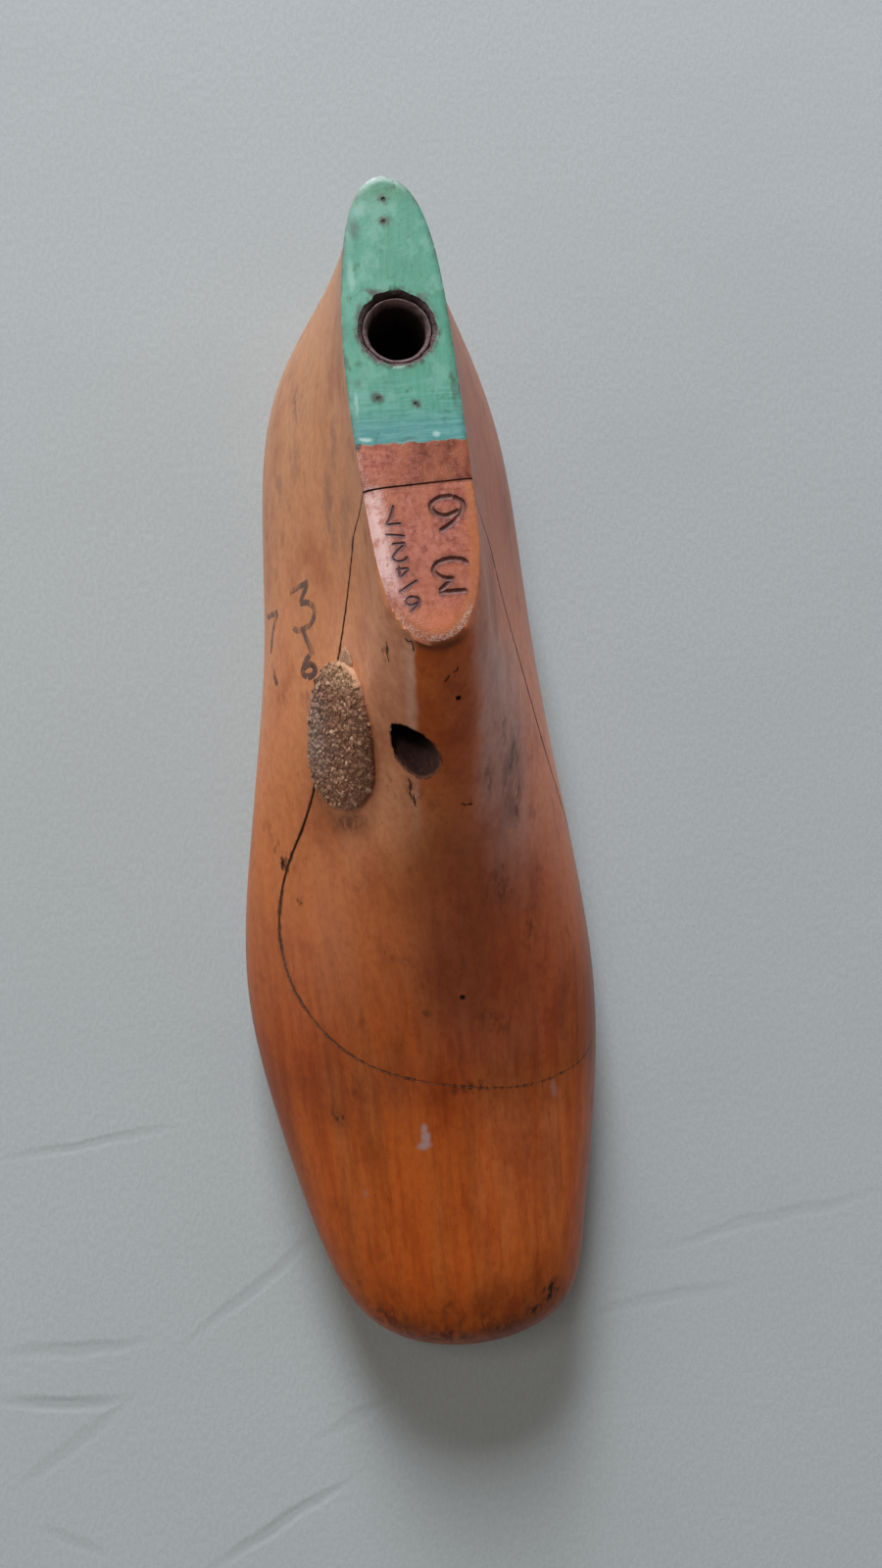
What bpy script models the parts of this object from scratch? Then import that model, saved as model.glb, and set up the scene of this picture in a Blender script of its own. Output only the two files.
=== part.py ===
"""A shoemaker's wooden scoop-block last for a right shoe.

The last is lofted from heel to toe through five rows of stations on each side, its comb is planed
flat, and a curved saw cut parts the instep block from the body. The block lifts off its pin.
Sizes are in millimetres. A place on the last is (s, x, z): s from the back of the heel towards the
toe, x towards the inner (medial) side, z up from the floor.
"""

import math

import bmesh
import bpy
import numpy as np
from mathutils import Matrix, Vector
from mathutils.bvhtree import BVHTree

MM = 0.001

# Overall length of the last, heel to toe
LENGTH = 243.0

# Rows of the loft, each at eleven stations from heel to toe. start and stop are how far the row
# stays inside the heel and the toe; lateral and medial are distances from the row's centre. tilt
# is how steeply the side leaves the feather edge, and lean how far the shoulder leans inwards.
FEATHER = {
    "start": 3.0,
    "stop": 3.0,
    "lateral": (0, 8.8, 20.8, 26, 25.5, 32, 39.5, 35.5, 28.5, 18, 0),
    "medial": (0, 8.2, 16.8, 20, 16, 22.5, 31.5, 30.5, 25, 17, 0),
    "tilt": (74, 74, 72, 66, 52, 46, 48, 54, 58, 60, 60),
}
WIDEST = {
    "start": 0.0,
    "stop": 0.0,
    "lateral": (0, 10.7, 24.8, 31, 33.6, 39.8, 44.4, 39.4, 32, 21, 0),
    "medial": (0, 9.9, 19.8, 25.5, 27.3, 31.8, 35.8, 33.3, 28, 20.7, 0),
    "height": (24, 23.5, 22, 22, 22, 19, 15, 15, 17.5, 20.5, 22),
}
SHOULDER = {
    "start": 2.4,
    "stop": 6.5,
    "lateral": (0, 6.3, 9.6, 10.4, 10.7, 19.5, 29, 28.5, 23.5, 14.3, 0),
    "medial": (0, 6.3, 9.6, 10.4, 11.1, 17, 25, 25, 21.5, 14, 0),
    "height": (73, 73.5, 75, 77, 72.5, 46, 34, 30, 29.3, 29.8, 30),
    "lean": (0, 0, 4, 9, 12, 40, 56, 58, 60, 64, 68),
}
RIDGE = {
    "start": 20.0,
    "stop": 25.0,
    "height": (86, 88, 90.5, 90.5, 82.9, 57, 44, 38, 35.2, 34, 33.8),
}
# Below the comb the ridge is a flat band between two corners: how far they lie from the ridge's
# middle, how far they drop below it, and where along the last they come and fade
CREST = {"lateral": 4.3, "medial": 6.8, "drop_lateral": 0.3, "drop_medial": 0.6}
CREST_START = 87.0
CREST_FULL = 97.0
CREST_FADE = 106.0
CREST_END = 134.0
CREST_SHARE = 4 / 7
CREST_ROUND = 0.1
CREST_BLEND_IN = 0.35
CREST_BLEND_OUT = 0.8
SOLE_CENTRE = {"start": 22.0, "stop": 22.0}
# How far the shoulder and ridge rows lie to the medial side of the heel's middle
UPPER_CENTRE = (-0.9, -0.9, -0.9, -0.5, 0.7, 1.5, 2, 1.5, 0.5, 0, 0)

# The sole: a flat heel seat, a hollow waist, a flat tread and a toe that springs off the floor
HEEL_SEAT_END = 53.0
TREAD_START = 160.0
TREAD_END = 168.0
TOE_SPRING = 12.5
TOE_SPRING_POWER = 1.9
WAIST_RISE_LATERAL = 5.0
WAIST_RISE_MEDIAL = 9.0
FEATHER_RISE = 1.6
FLAT_SHARE = 0.5

# The comb, planed flat and sloping down towards the heel
COMB_HEIGHT_AT_HEEL = 72.6
COMB_SLOPE = 4.6

# The saw cut under the block, seen from the side: a steep wall, a knee, a straight slope and a
# scoop that rises to the vamp. The cut runs askew across the last and dips to the medial side.
WALL_AT_COMB = 62.8
WALL_ANGLE = 60.0
SLOPE_ANGLE = 32.0
RISE_ANGLE = 45.0
KNEE_RADIUS = 8.0
SCOOP_RADIUS = 40.0
SCOOP_LOW_S = 150.7
SCOOP_LOW_Z = 22.3
CUT_SKEW = 0.06
CUT_DIP = -0.18
# How the block stands off the cut: the width of the kerf
KERF_UP = 0.62
KERF_FORWARD = 0.2
CUT_MARGIN = 25.0

# Running room between pieces that touch
GAP = 0.3

# Jack hole in the comb, lined with a thimble
JACK_S = 32.8
JACK_X = -0.8
THIMBLE_BORE = 10.9
THIMBLE_WALL = 1.05
THIMBLE_LENGTH = 42.0
THIMBLE_SET_DOWN = 0.8
DRILL_POINT = 59.0

# Locating pin, fixed in the body and entering the block from below
LIFT_LEAN = 15.0
PIN_S = 143.0
PIN_X = 1.0
PIN_DIAMETER = 5.0
PIN_IN_BODY = 12.0
PIN_IN_BLOCK = 10.0
PIN_ROUND = 0.8

# Hook hole, slanting into the block beside its ridge, and where its mouth looks
HOOK_S = 110.9
HOOK_X = -3.8
HOOK_DIAMETER = 9.2
HOOK_DEPTH = 13.5
HOOK_TO_TOE = 0.93
HOOK_TO_MEDIAL = 0.15
HOOK_UP = 0.33

# Brads on the ridge of the block: distance from the heel and from the middle
BRADS = {"ridge_brad_upper": (102.2, 4.6), "ridge_brad_lower": (162.8, 2.7)}
BRAD_DIAMETER = 1.5
BRAD_LENGTH = 12.0
BRAD_SET_DOWN = 0.15

# Cork fitting patch on the lateral flank, mostly on the block; its upper end turns to the ridge
PATCH_S = 106.0
PATCH_X = -17.6
PATCH_LENGTH = 31.0
PATCH_WIDTH = 18.2
PATCH_THICKNESS = 1.8
PATCH_EDGE = 0.9
PATCH_POWER = 2.4
PATCH_TURN = 23.0

# Facets
ALONG = 64
SOLE_FACETS = 4
LOWER_FACETS = 3
FLANK_FACETS = 10
TOP_FACETS = 7
ARC_STEP = 6.0
ROUND_FACETS = 32
SMALL_FACETS = 16
PATCH_RINGS = 4
PATCH_FACETS = 28
SHARP_ANGLE = 34.0


def share(u):
    """Position along a row, eased so that the rows close in round ends."""
    return (1 - np.cos(np.pi * u)) / 2


def smooth_through(values, u, level_ends):
    """Cubic through evenly spaced values, with level ends or with ends that run straight out."""
    y = np.asarray(values, float)
    last = len(y) - 1
    rows = np.zeros((last + 1, last + 1))
    right = np.zeros(last + 1)
    for i in range(1, last):
        rows[i, i - 1 : i + 2] = (1, 4, 1)
        right[i] = 3 * (y[i + 1] - y[i - 1])
    if level_ends:
        rows[0, 0] = 1
        rows[last, last] = 1
    else:
        rows[0, :2] = (2, 1)
        rows[last, last - 1 :] = (1, 2)
        right[0] = 3 * (y[1] - y[0])
        right[last] = 3 * (y[last] - y[last - 1])
    slope = np.linalg.solve(rows, right)
    x = np.clip(np.asarray(u, float), 0, 1) * last
    i = np.minimum(x.astype(int), last - 1)
    t = x - i
    start = (1 + 2 * t) * (1 - t) ** 2 * y[i] + t * (1 - t) ** 2 * slope[i]
    return start + t * t * (3 - 2 * t) * y[i + 1] + t * t * (t - 1) * slope[i + 1]


def sole_height(s, across):
    """Height of the sole; across runs from -1 at the lateral feather edge to 1 at the medial."""
    toe = np.clip((s - TREAD_END) / (LENGTH - TREAD_END), 0, 1)
    waist = np.clip((s - HEEL_SEAT_END) / (TREAD_START - HEEL_SEAT_END), 0, 1)
    rise = WAIST_RISE_LATERAL + (WAIST_RISE_MEDIAL - WAIST_RISE_LATERAL) * (across + 1) / 2
    edge = np.clip((np.abs(across) - FLAT_SHARE) / (1 - FLAT_SHARE), 0, 1) ** 2
    hollow = rise * np.sin(np.pi * waist) ** 2
    return TOE_SPRING * toe**TOE_SPRING_POWER + hollow + FEATHER_RISE * edge


def row_places(row, u):
    return row["start"] + (LENGTH - row["start"] - row["stop"]) * share(u)


def unit(vectors):
    size = np.linalg.norm(vectors, axis=-1, keepdims=True)
    return vectors / np.maximum(size, 1e-9)


def level(vectors):
    flat = vectors.copy()
    flat[:, 2] = 0
    return unit(flat)


def curve_between(first, last, leave, arrive, t):
    """Points of the cubic that leaves first along leave and meets last along arrive."""
    t = np.asarray(t)[:, None, None]
    start = (1 + 2 * t) * (1 - t) ** 2 * first + t * (1 - t) ** 2 * leave
    return start + t * t * (3 - 2 * t) * last + t * t * (t - 1) * arrive


def smooth_step(first, last, x):
    t = np.clip((x - first) / (last - first), 0, 1)
    return t * t * (3 - 2 * t)


def crested(rows, sign, shoulder, ridge, steps):
    """Draws the rows between shoulder and ridge out to the corner of the band on the ridge."""
    side = "lateral" if sign < 0 else "medial"
    corner = shoulder + (ridge - shoulder) * CREST_SHARE
    come = smooth_step(CREST_START, CREST_FULL, corner[:, 1])
    fade = smooth_step(CREST_END, CREST_FADE, corner[:, 1])
    corner[:, 0] = ridge[:, 0] + sign * CREST[side]
    corner[:, 2] = np.interp(corner[:, 1], ridge[:, 1], ridge[:, 2]) - CREST["drop_" + side]
    bent = []
    for t, row in zip(steps, rows):
        before = (CREST_SHARE - t) / CREST_ROUND
        left = CREST_ROUND * (math.log1p(math.exp(-abs(before))) + max(before, 0))
        to_corner = 1 - left / CREST_SHARE
        past = (t - CREST_SHARE + left) / (1 - CREST_SHARE)
        place = shoulder + (corner - shoulder) * to_corner + (ridge - corner) * past
        blend = smooth_step(0, CREST_BLEND_IN, t) * smooth_step(1, CREST_BLEND_OUT, t)
        bent.append(row + (come * fade * blend)[:, None] * (place - row))
    return bent


def side_grid(sign, along, sole, lower, flank, top):
    """One side of the last as a grid [row, station] of (x, s, z), from the sole to the ridge."""
    side = "lateral" if sign < 0 else "medial"
    u = np.linspace(0, 1, along + 1)
    centre = smooth_through(UPPER_CENTRE, u, True)

    def heights(row):
        return smooth_through(row["height"], u, True)

    def place(row, middle, z):
        return np.stack([middle + sign * smooth_through(row[side], u, False), row_places(row, u), z], 1)

    feather_s = row_places(FEATHER, u)
    feather = place(FEATHER, 0, sole_height(feather_s, sign * np.ones_like(u)))
    widest = place(WIDEST, 0, heights(WIDEST))
    shoulder = place(SHOULDER, centre, heights(SHOULDER))
    ridge = np.stack([centre, row_places(RIDGE, u), heights(RIDGE)], 1)
    middle_s = row_places(SOLE_CENTRE, u)
    middle = np.stack([np.zeros_like(u), middle_s, sole_height(middle_s, np.zeros_like(u))], 1)

    up = np.array([0.0, 0.0, 1.0])
    lean = np.radians(smooth_through(SHOULDER["lean"], u, True))[:, None]
    at_shoulder = np.sin(lean) * level(ridge - widest) + np.cos(lean) * up
    over = level(ridge - shoulder)
    at_ridge = over.copy()
    at_ridge[:, 2] = np.gradient(ridge[:, 2], ridge[:, 1]) * over[:, 1]
    tilt = np.radians(smooth_through(FEATHER["tilt"], u, True))[:, None]
    at_feather = np.cos(tilt) * level(widest - feather) + np.sin(tilt) * up

    def span(a, b):
        return np.linalg.norm(b - a, axis=1, keepdims=True)

    grid = []
    for k in range(sole):
        across = k / sole
        row = middle + (feather - middle) * across
        row[:, 2] = sole_height(row[:, 1], sign * across * np.ones_like(u))
        grid.append(row)
    reach = span(feather, widest)
    steps = np.arange(lower) / lower
    grid += list(curve_between(feather, widest, at_feather * reach, up * reach, steps))
    reach = span(widest, shoulder)
    steps = np.arange(flank) / flank
    grid += list(curve_between(widest, shoulder, up * reach, at_shoulder * reach, steps))
    reach = span(shoulder, ridge)
    steps = np.arange(top + 1) / top
    rows = curve_between(shoulder, ridge, at_shoulder * reach, at_ridge * reach * 1.2, steps)
    grid += crested(rows, sign, shoulder, ridge, steps)
    return np.array(grid)


def shell_grids():
    facets = (ALONG, SOLE_FACETS, LOWER_FACETS, FLANK_FACETS, TOP_FACETS)
    return {sign: side_grid(sign, *facets) for sign in (-1, 1)}


GRIDS = shell_grids()
EVERY_POINT = np.concatenate([grid.reshape(-1, 3) for grid in GRIDS.values()])
# The origin is the bottom centre of the last's box
MIDDLE_X = (EVERY_POINT[:, 0].min() + EVERY_POINT[:, 0].max()) / 2
MIDDLE_S = (EVERY_POINT[:, 1].min() + EVERY_POINT[:, 1].max()) / 2


def at(s, x, z):
    """The world place of (s, x, z) on the last: +X medial, +Y to the heel, +Z up."""
    return Vector((x - MIDDLE_X, MIDDLE_S - s, z)) * MM


def toward(to_toe, to_medial, up):
    return Vector((to_medial, -to_toe, up)).normalized()


def turn_to(direction):
    """Rotation that takes +Z onto a direction."""
    return Vector((0, 0, 1)).rotation_difference(direction)


COMB_NORMAL = toward(-math.sin(math.radians(COMB_SLOPE)), 0, math.cos(math.radians(COMB_SLOPE)))
LIFT = toward(math.sin(math.radians(LIFT_LEAN)), 0, math.cos(math.radians(LIFT_LEAN)))


def comb_height(s):
    return COMB_HEIGHT_AT_HEEL + s * math.tan(math.radians(COMB_SLOPE))


def clear_scene():
    for item in list(bpy.data.objects):
        bpy.data.objects.remove(item, do_unlink=True)


def material(name, colour, roughness, metallic=0.0):
    made = bpy.data.materials.new(name)
    made.use_nodes = True
    surface = made.node_tree.nodes["Principled BSDF"]
    surface.inputs["Base Color"].default_value = (*colour, 1)
    surface.inputs["Roughness"].default_value = roughness
    surface.inputs["Metallic"].default_value = metallic
    made.diffuse_color = (*colour, 1)
    return made


def mark_sharp(bm):
    limit = math.radians(SHARP_ANGLE)
    for face in bm.faces:
        face.smooth = True
    for edge in bm.edges:
        edge.smooth = len(edge.link_faces) == 2 and edge.calc_face_angle(0) < limit


def new_object(name, bm, look=None):
    bmesh.ops.recalc_face_normals(bm, faces=bm.faces)
    mark_sharp(bm)
    mesh = bpy.data.meshes.new(name)
    bm.to_mesh(mesh)
    bm.free()
    if look:
        mesh.materials.append(look)
    item = bpy.data.objects.new(name, mesh)
    bpy.context.scene.collection.objects.link(item)
    return item


def hide_cutter(item):
    item.display_type = "WIRE"
    item.hide_render = True


def boolean(item, name, operation, cutter):
    cut = item.modifiers.new(name, "BOOLEAN")
    cut.operation = operation
    cut.solver = "EXACT"
    cut.object = cutter
    hide_cutter(cutter)


def last_shell():
    """The whole turned last, before sawing, with its comb planed flat."""
    bm = bmesh.new()
    corners = {}
    rows = GRIDS[1].shape[0]

    def corner(sign, row, station):
        shared = station in (0, ALONG) or row in (0, rows - 1)
        key = (0 if shared else sign, row, station)
        if key not in corners:
            x, s, z = GRIDS[sign][row, station]
            corners[key] = bm.verts.new(at(s, x, z))
        return corners[key]

    for sign in (-1, 1):
        for row in range(rows - 1):
            for station in range(ALONG):
                around = ((row, station), (row, station + 1), (row + 1, station + 1), (row + 1, station))
                bm.faces.new([corner(sign, *place) for place in around])
    bmesh.ops.recalc_face_normals(bm, faces=bm.faces)
    everything = list(bm.verts) + list(bm.edges) + list(bm.faces)
    cut = bmesh.ops.bisect_plane(
        bm,
        geom=everything,
        dist=1e-7,
        plane_co=at(0, 0, comb_height(0)),
        plane_no=COMB_NORMAL,
        clear_outer=True,
    )
    rim = [part for part in cut["geom_cut"] if isinstance(part, bmesh.types.BMEdge)]
    bmesh.ops.contextual_create(bm, geom=rim)
    return bm


def arc(centre, radius, first, last):
    """Points of an arc in the side view; angles in degrees from straight down, towards the toe."""
    steps = max(2, round(abs(last - first) / ARC_STEP))
    angles = np.radians(np.linspace(first, last, steps + 1))
    return [(centre[0] + radius * math.sin(a), centre[1] - radius * math.cos(a)) for a in angles]


def saw_profile():
    """The saw cut in the side view, from above the comb down, along the scoop and out of the vamp."""
    wall = math.radians(WALL_ANGLE)
    slope = math.radians(SLOPE_ANGLE)
    rise = math.radians(RISE_ANGLE)
    scoop_centre = (SCOOP_LOW_S, SCOOP_LOW_Z + SCOOP_RADIUS)
    scoop = arc(scoop_centre, SCOOP_RADIUS, -SLOPE_ANGLE, RISE_ANGLE)
    wall_top = (WALL_AT_COMB, comb_height(WALL_AT_COMB))
    # The knee's centre lies its radius away from the wall's line and from the slope's line
    wall_side = (wall_top[0] + KNEE_RADIUS * math.sin(wall), wall_top[1] + KNEE_RADIUS * math.cos(wall))
    slope_side = (
        scoop[0][0] + KNEE_RADIUS * math.sin(slope),
        scoop[0][1] + KNEE_RADIUS * math.cos(slope),
    )
    run = slope_side[0] - wall_side[0]
    fall = wall_side[1] - slope_side[1]
    down_wall = (fall - run * math.tan(slope)) / (math.sin(wall) - math.cos(wall) * math.tan(slope))
    knee_centre = (
        wall_side[0] + down_wall * math.cos(wall),
        wall_side[1] - down_wall * math.sin(wall),
    )
    knee = arc(knee_centre, KNEE_RADIUS, -WALL_ANGLE, -SLOPE_ANGLE)
    above = (wall_top[0] - CUT_MARGIN * math.cos(wall), wall_top[1] + CUT_MARGIN * math.sin(wall))
    beyond = (scoop[-1][0] + CUT_MARGIN * math.cos(rise), scoop[-1][1] + CUT_MARGIN * math.sin(rise))
    return [above] + knee + scoop + [beyond]


def above_saw_cut(name, forward, up):
    """A solid that fills everything above the saw cut, moved off the cut by (forward, up)."""
    bm = bmesh.new()
    profile = saw_profile()
    ceiling = profile[0][1] + CUT_MARGIN
    profile = profile + [(profile[-1][0], ceiling), (profile[0][0], ceiling)]
    half = max(WIDEST["lateral"]) + CUT_MARGIN
    ends = []
    for x in (-half, half):
        outline = []
        for s, z in profile:
            place = at(s + forward + CUT_SKEW * x, x, z + up + CUT_DIP * x)
            outline.append(bm.verts.new(place))
        ends.append(bm.faces.new(outline))
    bmesh.ops.bridge_loops(bm, edges=list(ends[0].edges) + list(ends[1].edges))
    return new_object(name, bm)


def turned(name, profile, facets, look=None):
    """A turned piece along +Z from (radius, height) points; it is closed at the axis."""
    bm = bmesh.new()
    points = [bm.verts.new((radius * MM, 0, height * MM)) for radius, height in profile]
    ring = [bm.edges.new(pair) for pair in zip(points, points[1:])]
    if profile[0][0] > 0:
        ring.append(bm.edges.new((points[-1], points[0])))
    bmesh.ops.spin(
        bm,
        geom=points + ring,
        axis=(0, 0, 1),
        cent=(0, 0, 0),
        angle=2 * math.pi,
        steps=facets,
    )
    bmesh.ops.remove_doubles(bm, verts=bm.verts, dist=1e-7)
    return new_object(name, bm, look)


def put(item, place, direction):
    item.location = place
    item.rotation_mode = "QUATERNION"
    item.rotation_quaternion = turn_to(direction)


def drill(name, diameter, depth, over, place, direction, facets=ROUND_FACETS):
    """A drilled hole with a cone at its bottom; direction points out of the mouth."""
    radius = diameter / 2
    point = radius / math.tan(math.radians(DRILL_POINT))
    profile = [(0, -depth - point), (radius, -depth), (radius, over), (0, over)]
    hole = turned(name, profile, facets)
    put(hole, place, direction)
    return hole


def surface_finder(shell):
    """A search tree over the planed last, to find places and directions on its surface."""
    tree = BVHTree.FromBMesh(shell)

    def find(s, x):
        start = at(s, x, comb_height(LENGTH))
        return tree.ray_cast(start, Vector((0, 0, -1)))

    return tree, find


def jack_thimble(look):
    outer = THIMBLE_BORE / 2 + THIMBLE_WALL
    inner = THIMBLE_BORE / 2
    profile = [(inner, -THIMBLE_LENGTH), (outer, -THIMBLE_LENGTH), (outer, 0), (inner, 0)]
    return turned("jack_hole_thimble", profile, ROUND_FACETS, look)


def locating_pin(look):
    radius = PIN_DIAMETER / 2
    profile = [
        (0, -PIN_IN_BODY),
        (radius - PIN_ROUND, -PIN_IN_BODY),
        (radius, -PIN_IN_BODY + PIN_ROUND),
        (radius, PIN_IN_BLOCK - PIN_ROUND),
        (radius - PIN_ROUND, PIN_IN_BLOCK),
        (0, PIN_IN_BLOCK),
    ]
    return turned("block_pin", profile, SMALL_FACETS, look)


def brad(name, look):
    radius = BRAD_DIAMETER / 2
    profile = [(0, -BRAD_LENGTH), (radius, -BRAD_LENGTH + radius), (radius, 0), (0, 0)]
    return turned(name, profile, SMALL_FACETS, look)


def cork_patch(tree, find, look):
    """A crowned pad draped over the flank, following the last at a small gap."""
    centre, normal, _, _ = find(PATCH_S, PATCH_X)
    level_along = toward(1, 0, 0)
    level_along = (level_along - normal * level_along.dot(normal)).normalized()
    turn = math.radians(PATCH_TURN)
    along = level_along * math.cos(turn) + level_along.cross(normal) * math.sin(turn)
    across = normal.cross(along)
    away = normal * PATCH_WIDTH * MM

    def on_surface(a, b):
        start = centre + (along * a + across * b) * MM + away
        return tree.ray_cast(start, -normal)[0]

    def lifted(a, b, height):
        """A point above the surface, along the surface's own direction there."""
        reach = 1.5
        run = on_surface(a + reach, b) - on_surface(a - reach, b)
        rise = on_surface(a, b + reach) - on_surface(a, b - reach)
        return on_surface(a, b) + run.cross(rise).normalized() * height * MM

    bm = bmesh.new()
    layers = []
    for upper in (False, True):
        rings = []
        for ring in range(PATCH_RINGS + 1):
            reach = math.sin(ring / PATCH_RINGS * math.pi / 2)
            crown = PATCH_EDGE + (PATCH_THICKNESS - PATCH_EDGE) * math.sqrt(max(0, 1 - reach**4))
            height = GAP + (crown if upper else 0)
            points = []
            for k in range(PATCH_FACETS if ring else 1):
                angle = 2 * math.pi * k / PATCH_FACETS
                round_off = 2 / PATCH_POWER
                a = math.copysign(abs(math.cos(angle)) ** round_off, math.cos(angle))
                b = math.copysign(abs(math.sin(angle)) ** round_off, math.sin(angle))
                place = (a * reach * PATCH_LENGTH / 2, b * reach * PATCH_WIDTH / 2)
                points.append(bm.verts.new(lifted(*place, height)))
            rings.append(points)
        layers.append(rings)

    def join(first, second):
        for k in range(PATCH_FACETS):
            after = (k + 1) % PATCH_FACETS
            if len(first) == 1:
                bm.faces.new((first[0], second[k], second[after]))
            else:
                bm.faces.new((first[k], second[k], second[after], first[after]))

    for rings in layers:
        for inner, outer in zip(rings, rings[1:]):
            join(inner, outer)
    join(layers[0][-1], layers[1][-1])
    return new_object("cork_patch", bm, look)


def build():
    clear_scene()
    wood = material("varnished_beech", (0.42, 0.17, 0.06), 0.4)
    block_wood = material("varnished_beech_block", (0.4, 0.15, 0.055), 0.4)
    cork = material("granular_cork", (0.15, 0.09, 0.065), 0.9)
    liner = material("tarnished_steel_liner", (0.09, 0.05, 0.05), 0.5, 0.7)
    steel = material("steel_pin", (0.5, 0.5, 0.5), 0.35, 1.0)
    rust = material("rusted_brad", (0.06, 0.04, 0.035), 0.7, 0.6)

    shell = last_shell()
    tree, find = surface_finder(shell)
    block_shell = shell.copy()
    body = new_object("last_body", shell, wood)
    block = new_object("scoop_block", block_shell, block_wood)

    boolean(body, "saw cut", "DIFFERENCE", above_saw_cut("saw_cut", 0, 0))
    kept = above_saw_cut("block_side_of_cut", KERF_FORWARD, KERF_UP)
    boolean(block, "block side of cut", "INTERSECT", kept)

    jack = at(JACK_S, JACK_X, comb_height(JACK_S))
    liner_top = THIMBLE_SET_DOWN
    liner_hole = THIMBLE_BORE + 2 * THIMBLE_WALL + 2 * GAP
    depth = liner_top + THIMBLE_LENGTH + GAP
    hole = drill("jack_hole", liner_hole, depth, CUT_MARGIN, jack, COMB_NORMAL)
    boolean(body, "jack hole", "DIFFERENCE", hole)
    thimble = jack_thimble(liner)
    put(thimble, jack - COMB_NORMAL * liner_top * MM, COMB_NORMAL)

    # The pin stands where the saw cut is near its lowest
    low = SCOOP_RADIUS - math.sqrt(SCOOP_RADIUS**2 - (PIN_S - SCOOP_LOW_S) ** 2)
    pin_foot = at(PIN_S + CUT_SKEW * PIN_X, PIN_X, SCOOP_LOW_Z + low + CUT_DIP * PIN_X)
    hole_width = PIN_DIAMETER + 2 * GAP
    reach = (PIN_IN_BODY + GAP, PIN_IN_BLOCK + GAP)
    socket = drill("pin_socket", hole_width, reach[0], PIN_DIAMETER, pin_foot, LIFT, SMALL_FACETS)
    boolean(body, "pin socket", "DIFFERENCE", socket)
    pin = locating_pin(steel)
    put(pin, pin_foot, LIFT)

    lift_axis = bpy.data.objects.new("block_lift_axis", None)
    lift_axis.location = pin_foot
    bpy.context.scene.collection.objects.link(lift_axis)

    entry = drill("pin_entry", hole_width, reach[1], PIN_DIAMETER, pin_foot, -LIFT, SMALL_FACETS)
    boolean(block, "pin entry", "DIFFERENCE", entry)

    mouth = find(HOOK_S, HOOK_X)[0]
    outward = toward(HOOK_TO_TOE, HOOK_TO_MEDIAL, HOOK_UP)
    hook = drill("hook_hole", HOOK_DIAMETER, HOOK_DEPTH, CUT_MARGIN, mouth, outward)
    boolean(block, "hook hole", "DIFFERENCE", hook)

    lifted = [block]
    for name, (s, x) in BRADS.items():
        place, normal, _, _ = find(s, x)
        hole = drill(
            name + "_hole",
            BRAD_DIAMETER + 2 * GAP,
            BRAD_SET_DOWN + BRAD_LENGTH + GAP,
            BRAD_DIAMETER,
            place,
            normal,
            SMALL_FACETS,
        )
        boolean(block, name, "DIFFERENCE", hole)
        nail = brad(name, rust)
        put(nail, place - normal * BRAD_SET_DOWN * MM, normal)
        lifted.append(nail)
    lifted.append(cork_patch(tree, find, cork))
    bpy.context.view_layer.update()
    for item in lifted:
        stay = item.matrix_world.copy()
        item.parent = lift_axis
        item.matrix_parent_inverse = Matrix.Translation(-lift_axis.location)
        item.matrix_world = stay


build()
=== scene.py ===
"""A shoemaker's wooden scoop-block last for a right shoe, dressed for a picture.

The body and the instep block are lofted again from the same stations as the solids, much finer, and
get their worn edges, drilled holes and stamped numerals. Geometry nodes bond the cork's granules.
Places on the last are (s, x, z) in millimetres: s from the heel towards the toe, x towards the
inner side, z up. The model's own frame is in metres, +Y to the heel and +X to the inner side.
"""

import math

import bmesh
import bpy
import numpy as np
from mathutils import Matrix, Vector, noise
from mathutils.bvhtree import BVHTree
from mathutils.kdtree import KDTree


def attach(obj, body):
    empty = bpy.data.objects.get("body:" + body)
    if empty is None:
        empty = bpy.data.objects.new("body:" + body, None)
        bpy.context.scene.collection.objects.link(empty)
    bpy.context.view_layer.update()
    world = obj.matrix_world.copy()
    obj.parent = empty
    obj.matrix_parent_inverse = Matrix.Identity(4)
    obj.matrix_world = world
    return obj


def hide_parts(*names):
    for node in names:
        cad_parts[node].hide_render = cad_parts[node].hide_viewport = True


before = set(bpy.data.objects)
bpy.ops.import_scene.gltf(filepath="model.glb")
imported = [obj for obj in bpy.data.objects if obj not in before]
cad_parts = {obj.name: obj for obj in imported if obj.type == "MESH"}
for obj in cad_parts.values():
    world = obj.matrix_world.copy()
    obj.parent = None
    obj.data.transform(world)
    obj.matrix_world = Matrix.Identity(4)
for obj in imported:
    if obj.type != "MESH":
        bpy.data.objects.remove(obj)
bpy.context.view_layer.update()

MM = 0.001
SEED = 7

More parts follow.
